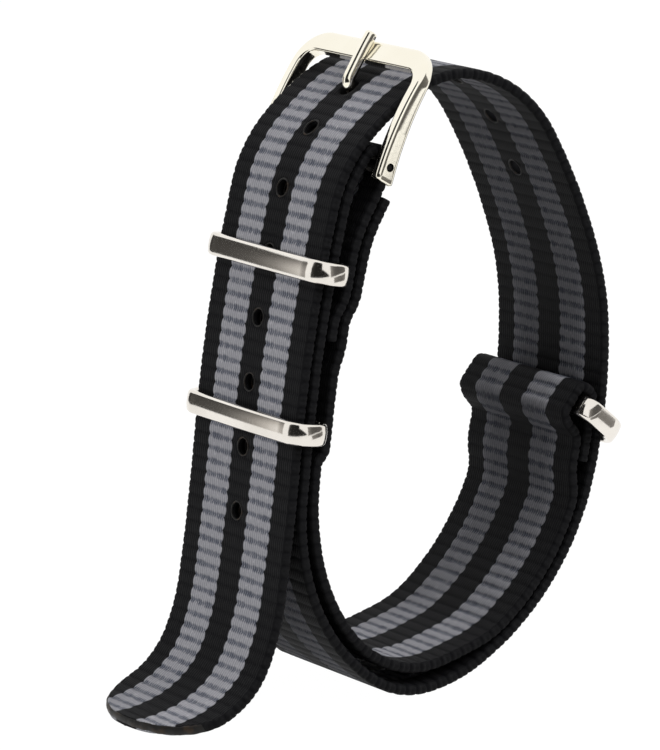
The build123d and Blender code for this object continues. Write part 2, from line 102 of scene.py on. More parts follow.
@dataclass
class Route:
    """A strip's centre line in the side view, as arcs that run into each other."""

    bends: list[Bend]

    @property
    def length(self) -> float:
        """Length along the arcs."""
        return sum(bend.length for bend in self.bends)

    def __add__(self, other: "Route") -> "Route":
        """This route with another one after it."""
        return Route(self.bends + other.bends)

    def shifted(self, shift: float) -> "Route":
        """The same route, shifted to the left of travel.

        Args:
            shift: How far.

        Returns:
            The shifted route.
        """
        return Route([
            Bend(*bend.at(0, shift), bend.length - shift * radians(bend.turn), bend.turn)
            for bend in self.bends
        ])

    def turned_back(self) -> "Route":
        """The same route, travelled the other way."""
        result = []
        for bend in reversed(self.bends):
            x, z, heading = bend.at()
            result.append(Bend(x, z, heading + 180, bend.length, -bend.turn))
        return Route(result)

    def between(self, start: float, end: float) -> "Route":
        """A stretch of the route.

        Args:
            start: Distance along the route where it starts.
            end: Distance where it ends.

        Returns:
            The stretch.
        """
        result = []
        passed = 0.0
        for bend in self.bends:
            low = max(start - passed, 0.0) / bend.length
            high = min((end - passed) / bend.length, 1.0)
            if high - low > NEARLY_STRAIGHT:
                share = high - low
                result.append(Bend(*bend.at(low), bend.length * share, bend.turn * share))
            passed += bend.length
        return Route(result)

    def station(self, distance: float, shift: float = 0.0) -> Station:
        """A station on or beside the route.

        Args:
            distance: Distance along the route.
            shift: How far it lies to the left of travel.

        Returns:
            The station.
        """
        for bend in self.bends[:-1]:
            if distance <= bend.length:
                return bend.at(distance / bend.length, shift)
            distance -= bend.length
        return self.bends[-1].at(distance / self.bends[-1].length, shift)

    def runs(self, *stretches: tuple[float, float, float]) -> "Route":
        """Runs beside the route, with a pair of arcs from each to the next.

        Args:
            stretches: Where each run starts and ends along the route, and its shift to the left.

        Returns:
            The runs and arcs as one route.
        """
        result = Route([])
        for start, end, shift in stretches:
            if result.bends:
                result += joined(result.bends[-1].at(), self.station(start, shift))
            result += self.between(start, end).shifted(shift)
        return result

    def points(self, along: np.ndarray, across: np.ndarray, left: np.ndarray) -> np.ndarray:
        """Places on and beside the route.

        Args:
            along: Distances along the route.
            across: Distances from the middle plane, towards +Y.
            left: Distances to the left of travel.

        Returns:
            One row of x, y, z for each, in millimetres.
        """
        ends = np.cumsum([bend.length for bend in self.bends])
        index = np.minimum(np.searchsorted(ends, along), len(self.bends) - 1)
        table = np.array(self.bends)[index]
        step = along - (ends[index] - table[:, 3])
        swing = np.radians(table[:, 4] * step / table[:, 3]) / 2
        chord = step * np.sinc(swing / pi)
        direction = np.radians(table[:, 2]) + swing
        heading = direction + swing
        x = table[:, 0] + chord * np.cos(direction) - left * np.sin(heading)
        z = table[:, 1] + chord * np.sin(direction) + left * np.cos(heading)
        return np.stack([x, across, z], axis=1)


def arc_between(start: Station, x: float, z: float) -> Bend:
    """The arc that leaves a station and ends in a point.

    Args:
        start: The station.
        x: The point's place along X.
        z: The point's height.

    Returns:
        The arc.
    """
    chord = hypot(x - start.x, z - start.z)
    swing = degrees(atan2(z - start.z, x - start.x)) - start.heading
    swing = (swing + 180) % 360 - 180
    half = radians(swing)
    length = chord if abs(half) < NEARLY_STRAIGHT else chord * half / sin(half)
    return Bend(*start, length, 2 * swing)


def joined(start: Station, end: Station) -> Route:
    """Two tangent arcs between stations.

    Args:
        start: Where they start.
        end: Where they end.

    Returns:
        The arcs.
    """
    c0, s0 = cos(radians(start.heading)), sin(radians(start.heading))
    c1, s1 = cos(radians(end.heading)), sin(radians(end.heading))
    dx, dz = end.x - start.x, end.z - start.z
    along = dx * (c0 + c1) + dz * (s0 + s1)
    square = dx * dx + dz * dz
    spread = 2 * (1 - c0 * c1 - s0 * s1)
    if spread < NEARLY_STRAIGHT:
        reach = square / (2 * along)
    else:
        reach = (sqrt(along * along + spread * square) - along) / spread
    xm = (start.x + end.x + reach * (c0 - c1)) / 2
    zm = (start.z + end.z + reach * (s0 - s1)) / 2
    first = arc_between(start, xm, zm)
    return Route([first, arc_between(first.at(), end.x, end.z)])


def straight(start: Station, end: Station) -> Route:
    """A straight run from one station to another."""
    return Route([Bend(*start, hypot(end.x - start.x, end.z - start.z), 0.0)])


@dataclass
class StrapLayout:
    """How the two straps run, and where the metal sits on them, as the frame has them."""

    width: float = 20.0
    thickness: float = 1.2
    layer_gap: float = 0.2
    flap_gap: float = 0.2
    weld_gap: float = 0.25
    weld_length: float = 1.6
    loop_bottom_x: float = 2.67
    unit_length: float = 175.0
    turns_and_length_shares: tuple = (
        (20.0, 0.037), (50.0, 0.149), (17.0, 0.099), (15.0, 0.0485), (14.0, 0.0925),
        (47.0, 0.0755), (27.0, 0.0305), (16.0, 0.026), (12.0, 0.0365), (32.0, 0.048),
        (9.0, 0.160), (-1.0, 0.0245), (-2.0, 0.066), (-16.0, 0.040), (-38.0, 0.038),
        (-29.0, 0.045),
    )
    runs_before_tail: int = 8
    pin_down: float = 7.7
    short_strap_top: float = 3.2
    upper_keeper_down: float = 21.9
    fold_end_down: float = 29.4
    channel_start_down: float = 33.5
    lower_keeper_down: float = 39.6
    seam_down: float = 43.6
    stack_foot_down: float = 46.5
    heel_back: float = 11.8
    heel_up: float = 7.9
    heel_heading: float = 302.0
    heel_slack: float = 0.5
    bottom_slack: float = 1.0
    bottom_ahead: float = 2.5
    slack_end_up: float = 13.0
    pin_radius: float = 0.9
    pin_fold_gap: float = 0.15
    fold_sweep: float = 168.0
    strip_width: float = 2.6
    strip_thickness: float = 0.8
    ring_gap: float = 0.2
    ring_front_gap: float = 0.25
    free_ring_tilt: float = 33.0
    free_ring_up: float = 41.0
    crease_below: float = 4.7
    flap_below: float = 6.7
    step_below: float = 12.5
    bulge_heading: float = 22.0

    def __post_init__(self) -> None:
        """Works the routes out, outer layer first."""
        half = self.half_thickness
        bends = []
        start = Station(self.loop_bottom_x, half, 0.0)
        for turn, share in self.turns_and_length_shares:
            bends.append(Bend(*start, share * self.unit_length, turn))
            start = bends[-1].at()
        self.loop = Route(bends)
        self.tail = Route(bends[self.runs_before_tail:])
        self.tail_start = self.loop.length - self.tail.length
        self.weld_pitch = self.thickness + self.weld_gap
        self.channel_pitch = self.thickness + self.strip_thickness + 2 * self.ring_gap
        self.long_shift = self.thickness + self.layer_gap
        self.fold_shift = self.long_shift + self.channel_pitch
        self.seam_shift = self.long_shift + self.weld_pitch
        self.fold_seam = self.fold_end_down - self.weld_length
        reach = self.strip_width / 2 + 2 * self.ring_gap
        self.keeper_top = self.upper_keeper_down - reach
        self.keeper_foot = self.upper_keeper_down + reach
        self.channel_end = self.lower_keeper_down + reach
        self.wrap_radius = self.pin_radius + self.pin_fold_gap + half
        self.heel = Station(
            self.loop_bottom_x - self.heel_back, half + self.heel_up, self.heel_heading
        )
        self.long = self.long_route()
        self.short = self.short_route()

    @property
    def half_thickness(self) -> float:
        """Half the webbing's thickness."""
        return self.thickness / 2

    def upwards(self, down: float, shift: float) -> Station:
        """A station on an inner layer, travelled upwards."""
        x, z, heading = self.tail.station(down, shift)
        return Station(x, z, heading + 180)

    def run_up(self, low: float, high: float, shift: float) -> Route:
        """An inner layer's run beside the tail, travelled upwards."""
        return self.tail.between(high, low).shifted(shift).turned_back()

    def long_route(self) -> Route:
        """The long strap: fold, wrap round the pin, stack, heel, loop and tail.

        Returns:
            Its route. The lengths that other pieces need are kept on the way.
        """
        wrap_end = self.tail.station(self.pin_down, self.long_shift)
        self.pin = self.tail.station(self.pin_down, self.long_shift + self.wrap_radius)
        wrap_length = self.wrap_radius * radians(self.fold_sweep)
        turned = Bend(
            wrap_end.x, wrap_end.z, wrap_end.heading + 180, wrap_length, -self.fold_sweep
        )
        wrap = Route([turned]).turned_back()
        top, foot, seam = self.keeper_top, self.keeper_foot, self.fold_seam
        self.fold_rise = joined(self.upwards(top, self.fold_shift), wrap.bends[0].at(0))
        self.fold_back = (
            self.run_up(self.fold_end_down, seam, self.seam_shift)
            + joined(self.upwards(seam, self.seam_shift), self.upwards(foot, self.fold_shift))
            + self.run_up(foot, top, self.fold_shift)
            + self.fold_rise
        )
        stack = self.tail.between(self.pin_down, self.stack_foot_down).shifted(self.long_shift)
        bottom = Station(self.loop_bottom_x, self.half_thickness, 360.0)
        heel_run = joined(stack.bends[-1].at(), self.heel) + joined(self.heel, bottom)
        self.wrap_middle = self.fold_back.length + wrap_length / 2
        self.wrap_half_length = wrap_length / 2
        before_loop = self.fold_back + wrap + stack + heel_run
        self.loop_start = before_loop.length
        return before_loop + self.loop

    def beside_ring(self, along: float, left: float, heading: float) -> Station:
        """A station given from the free ring's inner bar.

        Args:
            along: Distance along the strap from the bar's middle.
            left: Distance to the left of the strap's travel.
            heading: Heading from the strap's own.

        Returns:
            The station.
        """
        x, z, base = self.free_ring
        c, s = cos(radians(base)), sin(radians(base))
        return Station(x + along * c - left * s, z + along * s + left * c, base + heading)

    def corner_arc(self, along: int, side: int, heading: float, turn: float) -> Route:
        """The fold's arc round one corner of the ring's inner bar.

        Args:
            along: 1 for the bar's far edge and -1 for its near edge.
            side: 1 for its left face and -1 for its right face.
            heading: The arc's first heading from the strap's own.
            turn: How far the arc turns.

        Returns:
            The arc.
        """
        tilt = radians(self.free_ring_tilt)
        radius = self.ring_gap + self.half_thickness
        u = along * self.strip_width / 2 * cos(tilt) + side * self.strip_thickness / 2 * sin(tilt)
        v = side * self.strip_thickness / 2 * cos(tilt) - along * self.strip_width / 2 * sin(tilt)
        u -= radius * sin(radians(heading))
        v += radius * cos(radians(heading))
        return Route([Bend(*self.beside_ring(u, v, heading), radius * radians(abs(turn)), turn)])

    def ring_fold(self) -> Route:
        """The short strap's fold round the free ring's inner bar, down to the flap's end.

        Returns:
            Its route.
        """
        face = -self.free_ring_tilt
        arcs = [
            self.corner_arc(-1, 1, self.bulge_heading, face - self.bulge_heading),
            self.corner_arc(1, 1, face, -90.0),
            self.corner_arc(1, -1, face - 90, self.free_ring_tilt - 90.0),
        ]
        starts = [arc.bends[0].at(0) for arc in arcs]
        ends = [arc.bends[0].at() for arc in arcs]
        crease = self.loop.station(self.free_ring_up - self.crease_below, self.double_shift)
        flap = self.loop.station(self.free_ring_up - self.flap_below, self.flap_shift)
        return (
            joined(crease, starts[0]) + arcs[0] + straight(ends[0], starts[1]) + arcs[1]
            + straight(ends[1], starts[2]) + arcs[2]
            + joined(ends[2], Station(flap.x, flap.z, flap.heading - 180))
        )

    def short_route(self) -> Route:
        """The short strap: down the front, round the heel and up to the free ring's fold.

        Returns:
            Its route.
        """
        tilt = radians(self.free_ring_tilt)
        half_span = self.strip_width / 2 * sin(tilt) + self.strip_thickness / 2 * cos(tilt)
        self.flap_shift = self.thickness + self.flap_gap
        self.double_shift = 2 * self.flap_shift
        ring_in = self.flap_shift + self.half_thickness + self.ring_gap + half_span
        ring_out = self.half_thickness + self.ring_gap + half_span
        self.free_ring_pitch = (ring_in + ring_out) / cos(tilt)
        self.free_ring = self.loop.station(self.free_ring_up, ring_in)
        rise = self.fold_rise.shifted(-self.weld_pitch)
        front = self.tail.runs(
            (self.keeper_top, self.keeper_foot, self.fold_shift + self.weld_pitch),
            (self.fold_seam, self.fold_end_down, self.seam_shift + self.weld_pitch),
            (self.channel_start_down, self.channel_end, self.fold_shift),
            (self.seam_down, self.seam_down + self.weld_length, self.seam_shift),
        )
        heel = self.heel.shifted(self.weld_pitch + self.heel_slack)
        bottom = self.loop.station(self.bottom_ahead, self.weld_pitch + self.bottom_slack)
        crease = self.free_ring_up - self.crease_below
        back = self.loop.runs(
            (self.slack_end_up, self.free_ring_up - self.step_below, self.weld_pitch),
            (crease - self.weld_length, crease, self.double_shift),
        )
        return (
            rise.between(0, self.fold_rise.length - self.short_strap_top).turned_back()
            + front
            + joined(front.bends[-1].at(), heel)
            + joined(heel, bottom)
            + joined(bottom, back.bends[0].at(0))
            + back
            + self.ring_fold()
        )

    def keeper_seats(self) -> dict[str, tuple[Station, float]]:
        """Each ring's inner bar and the pitch to its front bar, by node.

        Returns:
            The bar's station and the pitch, for each node.
        """
        half_strip = self.strip_thickness / 2
        shift = self.long_shift + self.half_thickness + self.ring_gap + half_strip
        pitch = shift + self.half_thickness + self.ring_front_gap + half_strip
        x, z, heading = self.free_ring
        return {
            "keeper_upper": (self.tail.station(self.upper_keeper_down, shift), pitch),
            "keeper_lower": (self.tail.station(self.lower_keeper_down, shift), pitch),
            "keeper_free_ring": (
                Station(x, z, heading - self.free_ring_tilt), self.free_ring_pitch
            ),
        }


@dataclass(frozen=True)
class Value:
    """A node's output that can stand in sums. Each operator makes a Math node."""

    wires: "Wires"
    socket: bpy.types.NodeSocket

    def __add__(self, other: object) -> "Value":
        """Adds a value or a number."""
        return self.wires.math("ADD", self, other)

    def __radd__(self, other: float) -> "Value":
        """Adds this value to a number."""
        return self.wires.math("ADD", other, self)

    def __sub__(self, other: object) -> "Value":
        """Takes a value or a number away."""
        return self.wires.math("SUBTRACT", self, other)

    def __rsub__(self, other: float) -> "Value":
        """Takes this value away from a number."""
        return self.wires.math("SUBTRACT", other, self)

    def __mul__(self, other: object) -> "Value":
        """Multiplies by a value or a number."""
        return self.wires.math("MULTIPLY", self, other)

    def __truediv__(self, other: object) -> "Value":
        """Divides by a value or a number."""
        return self.wires.math("DIVIDE", self, other)

    def __pow__(self, power: float) -> "Value":
        """Raises to a power."""
        return self.wires.math("POWER", self, power)

    def __abs__(self) -> "Value":
        """The value without its sign."""
        return self.wires.math("ABSOLUTE", self)


class Wires:
    """Short calls that make and join the nodes of one tree."""

    def __init__(self, tree: bpy.types.NodeTree) -> None:
        """Keeps the tree."""
        self.tree = tree

    def fill(self, node: bpy.types.Node, inputs: dict) -> None:
        """Links a node's inputs to values, or sets them on the node itself.

        Args:
            node: The node.
            inputs: A value, number, colour or text for each input, by name or place.
        """
        for key, value in inputs.items():
            if isinstance(value, Value):
                self.tree.links.new(value.socket, node.inputs[key])
            else:
                node.inputs[key].default_value = value

    def node(self, kind: str, inputs: dict | None = None, **settings: object) -> bpy.types.Node:
        """A new node.

        Args:
            kind: The node's type.
            inputs: What goes into its inputs.
            settings: The node's own properties.

        Returns:
            The node.
        """
        made = self.tree.nodes.new(kind)
        for name, setting in settings.items():
            setattr(made, name, setting)
        self.fill(made, inputs or {})
        return made

    def output(
        self, kind: str, key: str | int = 0, inputs: dict | None = None, **settings: object
    ) -> Value:
        """One output of a new node, by name or place."""
        return Value(self, self.node(kind, inputs, **settings).outputs[key])

    def math(self, operation: str, *values: object) -> Value:
        """A Math node's result."""
        return self.output("ShaderNodeMath", 0, dict(enumerate(values)), operation=operation)

    def vector(self, operation: str, *values: object) -> Value:
        """A Vector Math node's result."""
        return self.output("ShaderNodeVectorMath", 0, dict(enumerate(values)), operation=operation)

    def scaled(self, vector: Value, factor: Value) -> Value:
        """A vector times a number."""
        inputs = {0: vector, "Scale": factor}
        return self.output("ShaderNodeVectorMath", 0, inputs, operation="SCALE")

    def combine(self, x: object, y: object, z: object) -> Value:
        """A vector from its three parts."""
        return self.output("ShaderNodeCombineXYZ", 0, {0: x, 1: y, 2: z})

    def parts(self, vector: Value) -> tuple[Value, ...]:
        """A vector's three parts."""
        return tuple(
            Value(self, part) for part in self.node("ShaderNodeSeparateXYZ", {0: vector}).outputs
        )

    def step(self, value: Value, low: float, high: float) -> Value:
        """A smooth step from 0 at low to 1 at high."""
        inputs = {"Value": value, "From Min": low, "From Max": high}
        return self.output("ShaderNodeMapRange", 0, inputs, interpolation_type="SMOOTHSTEP")

    def noise(self, vector: Value, scale: float, detail: float = 2.0) -> Value:
        """A noise's strength, about 0.5 on average."""
        inputs = {"Vector": vector, "Scale": scale, "Detail": detail}
        return self.output("ShaderNodeTexNoise", 0, inputs)

    def mixed(self, share: Value, first: object, second: object) -> Value:
        """A colour between two colours."""
        return self.output("ShaderNodeMix", 2, {0: share, 6: first, 7: second}, data_type="RGBA")

    def bump(
        self, shader: bpy.types.Node, height: Value, strength: float, distance: float
    ) -> None:
        """Raises a shader's surface by a height.

        Args:
            shader: The shader.
            height: The height, as a share of the distance.
            strength: How strongly it shows.
            distance: The distance, in millimetres.
        """
        inputs = {"Strength": strength, "Distance": distance * MM, "Height": height}
        self.fill(shader, {"Normal": self.output("ShaderNodeBump", "Normal", inputs)})


class Finish:
    """A material that is worked out from places on the piece."""

    name: str = "finish"

    def material(self) -> bpy.types.Material:
        """The finished material, made once."""
        made = bpy.data.materials.get(self.name)
        if made is None:
            made = bpy.data.materials.new(self.name)
            made.use_nodes = True
            shader = made.node_tree.nodes["Principled BSDF"]
            self.wire(Wires(made.node_tree), shader)
        return made

    def wire(self, wires: Wires, shader: bpy.types.Node) -> None:
        """Wires the shader's inputs."""
        raise NotImplementedError


@dataclass(frozen=True)
class RibbedWeave(Finish):
    """Ribbed nylon webbing, black with two grey stripes, by distance along and across it, with
    painted shade in its rib valleys and between its yarn columns.

    Steps are pairs: where a smooth step starts and where it ends. Shares are pairs too: the least
    and how much noise adds. The relief is its strength and its depth, in millimetres.
    """

    name: str = "ribbed_webbing"
    rib_pitch: float = 1.45
    crest_power: float = 2.2
    crest_level: float = 0.62
    centre_half: float = 2.08
    stripe_edge: float = 6.6
    edge_blur: float = 0.06
    wander: float = 0.3
    scallop: float = 0.31
    lean: float = 0.13
    column_pitch: float = 0.38
    raggedness: float = 0.22
    valley_steps: tuple = (0.48, 0.98)
    dash_steps: tuple = (0.5, 0.85)
    gap_steps: tuple = (0.2, 0.75)
    patch_steps: tuple = (0.25, 0.7)
    bright_steps: tuple = (0.52, 0.78)
    black_steps: tuple = (0.2, 1.0)
    uneven_stretch: float = 0.5
    uneven_scale: float = 0.9
    uneven_share: float = 0.6
    mottle_scale: float = 2.2
    strand_stretch: tuple = (1.1, 3.2)
    strand_scale: float = 1.6
    dash_least: float = 0.42
    patch_least: float = 0.6
    valley_shares: tuple = (0.55, 0.4)
    gap_shares: tuple = (0.2, 0.5)
    black_gap: float = 0.5
    roughness: float = 0.72
    gloss: float = 0.12
    relief: tuple = (0.6, 0.05)
    # The valley, gap and dash colours are painted shade: the webbing darker in its rib valleys and
    # between its yarn columns.
    black_top: tuple = (0.0085, 0.0085, 0.009, 1)
    black_painted_shade: tuple = (0.002, 0.002, 0.0025, 1)
    grey_top: tuple = (0.265, 0.262, 0.278, 1)
    grey_bright: tuple = (0.36, 0.355, 0.37, 1)
    grey_painted_shade: tuple = (0.095, 0.102, 0.127, 1)
    dash_painted_shade: tuple = (0.022, 0.026, 0.038, 1)

    def wire(self, wires: Wires, shader: bpy.types.Node) -> None:
        """Stripes with scalloped edges, ribs and yarn columns, with painted shade in the rib
        valleys, between the columns and in dark dashes there.

        Args:
            wires: The material's wires.
            shader: The shader that takes the colour, gloss and relief.
        """
        place = wires.output("ShaderNodeAttribute", "Vector", attribute_name="strap_place")
        along, across, _ = wires.parts(place)
        ribs = along / self.rib_pitch
        columns = across / self.column_pitch
        cell = wires.combine(wires.math("ROUND", columns), wires.math("FLOOR", ribs + 0.5), 0.0)
        chance = wires.output(
            "ShaderNodeTexWhiteNoise", "Value", {"Vector": cell}, noise_dimensions="2D"
        )
        off_crest = abs((wires.math("FRACT", ribs) - 0.5) * 2.0)
        crest = 1.0 - off_crest**self.crest_power
        rise = crest - self.crest_level
        slow = wires.combine(along * self.uneven_stretch, across, 0.0)
        uneven = wires.noise(slow, self.uneven_scale)
        ragged = off_crest + chance * self.raggedness
        beside = abs(wires.math("FRACT", columns) - 0.5) * 2.0
        gap = 1.0 - wires.step(beside, *self.gap_steps)
        patchy = wires.step(uneven, *self.patch_steps)
        grey = self.stripe(wires, across + rise * self.lean, rise * self.scallop, uneven)
        light = self.light(wires, along, across, gap, patchy, ragged)
        strength = self.dash_least + chance * (1 - self.dash_least)
        # Dark dashes in the gaps of the rib valleys: painted shade.
        dash = gap * wires.step(ragged, *self.dash_steps) * strength
        patches = self.patch_least + patchy * (1 - self.patch_least)
        light = wires.mixed(dash * patches, light, self.dash_painted_shade)
        mottle = wires.noise(place, self.mottle_scale, 4.0)
        # The black is darker in its rib valleys and gaps: painted shade.
        dark = wires.mixed(
            wires.step(crest, *self.black_steps) * mottle, self.black_painted_shade, self.black_top
        )
        dark = wires.mixed(gap * self.black_gap, dark, self.black_painted_shade)
        wires.fill(shader, {
            "Base Color": wires.mixed(grey, dark, light),
            "Roughness": self.roughness,
            "Specular IOR Level": self.gloss,
        })
        wires.bump(shader, uneven * self.uneven_share - gap, *self.relief)

    def stripe(self, wires: Wires, leaning: Value, swell: Value, uneven: Value) -> Value:
        """Where the grey stripes lie.

        Args:
            wires: The material's wires.
            leaning: Place across the webbing, which leans a little at each rib.
            swell: How far the stripe stands out at each rib.
            uneven: Slow noise.

        Returns:
            1 on a stripe and 0 beside it.
        """
        off = abs(leaning) + (uneven - 0.5) * self.wander
        blur = self.edge_blur
        past_centre = wires.step(off + swell, self.centre_half - blur, self.centre_half + blur)
        past_stripe = wires.step(off - swell, self.stripe_edge - blur, self.stripe_edge + blur)
        return past_centre * (1.0 - past_stripe)

    def light(
        self, wires: Wires, along: Value, across: Value, gap: Value, patchy: Value, ragged: Value
    ) -> Value:
        """The grey yarn's colour, with painted shade in the valleys and between the columns.

        Args:
            wires: The material's wires.
            along: Distance along the webbing.
            across: Distance across it.
            gap: 1 between two columns of yarn.
            patchy: Slow patches.
            ragged: Distance from the rib's crest, with a ragged edge.

        Returns:
            The colour.
        """
        least, more = self.valley_shares
        valley = wires.step(ragged, *self.valley_steps) * (least + patchy * more)
        lengthwise, crosswise = self.strand_stretch
        yarn = wires.combine(along * lengthwise, across * crosswise, 0.0)
        strand = wires.noise(yarn, self.strand_scale, 3.0)
        shade = wires.mixed(valley, self.grey_top, self.grey_painted_shade)
        least, more = self.gap_shares
        shade = wires.mixed(gap * (least + strand * more), shade, self.grey_painted_shade)
        return wires.mixed(wires.step(strand, *self.bright_steps), shade, self.grey_bright)


@dataclass(frozen=True)
class MeltedNylon(Finish):
    """Webbing yarn that was melted and set: dark, brownish and partly glassy.

    The roughness is the least and how much noise adds, and the relief its strength and depth.
    """

    name: str = "melted_nylon"
    black: tuple = (0.004, 0.0036, 0.0032, 1)
    brown: tuple = (0.022, 0.014, 0.008, 1)
    blotch_scale: float = 900.0
    blotch_steps: tuple = (0.48, 0.70)
    gloss_scale: float = 1500.0
    roughness: tuple = (0.34, 0.4)
    gloss: float = 0.3
    lump_scale: float = 1200.0
    relief: tuple = (0.8, 0.08)

    def wire(self, wires: Wires, shader: bpy.types.Node) -> None:
        """Brown and black blotches with glassy beads.

        Args:
            wires: The material's wires.
            shader: The shader that takes the colour, gloss and relief.
        """
        place = wires.output("ShaderNodeTexCoord", "Object")
        blotch = wires.step(wires.noise(place, self.blotch_scale, 3.0), *self.blotch_steps)
        least, more = self.roughness
        wires.fill(shader, {
            "Base Color": wires.mixed(blotch, self.black, self.brown),
            "Roughness": least + wires.noise(place, self.gloss_scale) * more,
            "Specular IOR Level": self.gloss,
        })
        wires.bump(shader, wires.noise(place, self.lump_scale, 4.0), *self.relief)


@dataclass(frozen=True)
class Steel(Finish):
    """Stainless steel: its tint, its gloss, how strongly drawing marks show, and its painted shade.
    """

    name: str = "mirror_steel"
    tint: tuple = (0.925, 0.885, 0.765, 1)
    deep_tint: tuple = (0.90, 0.855, 0.73, 1)
    roughness: float = 0.08
    marks: float = 0.04
    mark_stretch: tuple = (300.0, 5000.0, 5000.0)
    # Near-black colour of painted shade, for faces that the piece marks as shaded.
    painted_shade_tint: tuple = (0.085, 0.075, 0.07, 1)
    cloud_scale: float = 160.0
    cloud_steps: tuple = (0.35, 0.7)
    cloud_roughness: float = 0.03
    mark_steps: tuple = (0.45, 0.8)
    dull_roughness: float = 0.2
    painted_shade_steps: tuple = (0.35, 0.65)
    relief: tuple = (0.04, 0.01)

    def wire(self, wires: Wires, shader: bpy.types.Node) -> None:
        """Mild clouding, fine marks that lie one way, and painted shade, darker and rougher, where
        the piece marks it.

        Args:
            wires: The material's wires.
            shader: The shader that takes the colour, gloss and relief.
        """
        place = wires.output("ShaderNodeTexCoord", "Object")
        scratch = wires.noise(wires.vector("MULTIPLY", place, self.mark_stretch), 1.0, 3.0)
        cloud = wires.noise(place, self.cloud_scale, 3.0)
        tint = wires.mixed(wires.step(cloud, *self.cloud_steps), self.tint, self.deep_tint)
        # The piece's marks give painted shade: a near-black colour, and rougher steel.
        dull = wires.output("ShaderNodeAttribute", "Fac", attribute_name="dull")
        rough = wires.step(scratch, *self.mark_steps) * self.marks
        rough += cloud * self.cloud_roughness + dull * self.dull_roughness
        wires.fill(shader, {
            "Base Color": wires.mixed(wires.step(dull, *self.painted_shade_steps), tint, self.painted_shade_tint),
            "Metallic": 1.0,
            "Roughness": self.roughness + rough,
        })
        wires.bump(shader, scratch, *self.relief)


def linked(name: str, mesh: bpy.types.Mesh) -> bpy.types.Object:
    """A new object in the scene that shows a mesh."""
    made = bpy.data.objects.new(name, mesh)
    bpy.context.scene.collection.objects.link(made)
    return made


def mesh_of(
    name: str, points: np.ndarray, faces: Sequence = (), edges: Sequence = ()
) -> bpy.types.Mesh:
    """A mesh from points in millimetres.

    Args:
        name: The mesh's name.
        points: One row of x, y, z for each point.
        faces: The points of each face.
        edges: The points of each loose edge.

    Returns:
        The mesh.
    """
    mesh = bpy.data.meshes.new(name)
    places = (np.asarray(points) * MM).tolist()
    mesh.from_pydata(places, list(edges), [list(face) for face in faces])
    mesh.update()
    return mesh


def lofted(name: str, rings: np.ndarray, closed: bool = False) -> bpy.types.Object:
    """A body through rings of points.

    Args:
        name: The body's name.
        rings: The rings, each with the same number of points, in millimetres.
        closed: Whether the last ring joins the first. If not, both ends get a flat face.

    Returns:
        The body's object, with its faces outwards.
    """
    count, sides = rings.shape[:2]
    index = np.arange(count * sides).reshape(count, sides)
    faces = [
        (here[j], here[(j + 1) % sides], after[(j + 1) % sides], after[j])
        for here, after in zip(index, index[1:]) for j in range(sides)
    ]
    if closed:
        here, after = index[-1], index[0]
        faces += [
            (here[j], here[(j + 1) % sides], after[(j + 1) % sides], after[j]) for j in range(sides)
        ]
    else:
        faces += [index[0], index[-1]]
    body = linked(name, mesh_of(name, rings.reshape(-1, 3), faces))
    outward(body.data)
    return body


def marked(
    mesh: bpy.types.Mesh, name: str, kind: str, values: object, domain: str = "POINT"
) -> None:
    """Stores values on a mesh.

    Args:
        mesh: The mesh.
        name: The attribute's name.
        kind: FLOAT, INT or FLOAT_VECTOR.
        values: One value, or row of three, for each point or face.
        domain: POINT or FACE.
    """
    attribute = mesh.attributes.new(name, kind, domain)
    key = "vector" if kind == "FLOAT_VECTOR" else "value"
    number = np.int32 if kind == "INT" else np.float32
    attribute.data.foreach_set(key, np.asarray(values).astype(number).ravel())


def plain(source: bpy.types.Object) -> bpy.types.Object:
    """Works an object's modifiers into a plain mesh.

    Args:
        source: The object, which is removed.

    Returns:
        The object that takes its place.
    """
    bpy.context.view_layer.update()
    shown = source.evaluated_get(bpy.context.evaluated_depsgraph_get())
    mesh = bpy.data.meshes.new_from_object(shown)
    name, old = source.name, source.data
    bpy.data.objects.remove(source)
    bpy.data.meshes.remove(old)
    mesh.name = name
    return linked(name, mesh)


def outward(mesh: bpy.types.Mesh) -> None:
    """Merges a closed mesh's doubles and turns its faces outwards.

    Args:
        mesh: The mesh.
    """
    work = bmesh.new()
    work.from_mesh(mesh)
    bmesh.ops.remove_doubles(work, verts=work.verts, dist=MERGE_DISTANCE * MM)
    bmesh.ops.recalc_face_normals(work, faces=work.faces)
    work.to_mesh(mesh)
    work.free()


def smoothed(piece: bpy.types.Object, angle: float = 40.0) -> bpy.types.Object:
    """Shades a piece smooth, apart from sharp edges, so that its flat faces stay flat.

    Args:
        piece: The piece.
        angle: Edges that turn by more than this stay sharp, in degrees.

    Returns:
        The piece that takes its place.
    """
    piece.data.shade_smooth()
    piece.data.set_sharp_from_angle(angle=radians(angle))
    even = piece.modifiers.new("even", "WEIGHTED_NORMAL")
    even.mode = "FACE_AREA"
    even.weight = 100
    even.keep_sharp = True
    return plain(piece)


def cut(piece: bpy.types.Object, tool: bpy.types.Object, operation: str) -> bpy.types.Object:
    """Joins or cuts a piece with a tool, which is removed.

    Args:
        piece: The piece.
        tool: The other solid.
        operation: UNION or DIFFERENCE.

    Returns:
        The piece that takes its place.
    """
    change = piece.modifiers.new("change", "BOOLEAN")
    change.operation = operation
    change.solver = "EXACT"
    change.object = tool
    made = plain(piece)
    data = tool.data
    bpy.data.objects.remove(tool)
    bpy.data.meshes.remove(data)
    return made


def tube_along(
    name: str, points: np.ndarray, radii: Sequence[float], sides: int
) -> bpy.types.Object:
    """A closed round bar along points in the XZ plane.

    Args:
        name: The bar's name.
        points: Its middle line, one x and z a row, in millimetres.
        radii: Its radius at each point.
        sides: How many sides its section has.

    Returns:
        The bar's object.
    """
    along = np.gradient(points, axis=0)
    along /= np.linalg.norm(along, axis=1)[:, None]
    turns = np.linspace(0, 2 * pi, sides, endpoint=False)
    return lofted(name, np.array([
        [(x - az * radius * cos(t), radius * sin(t), z + ax * radius * cos(t)) for t in turns]
        for (x, z), (ax, az), radius in zip(points, along, radii)
    ]))


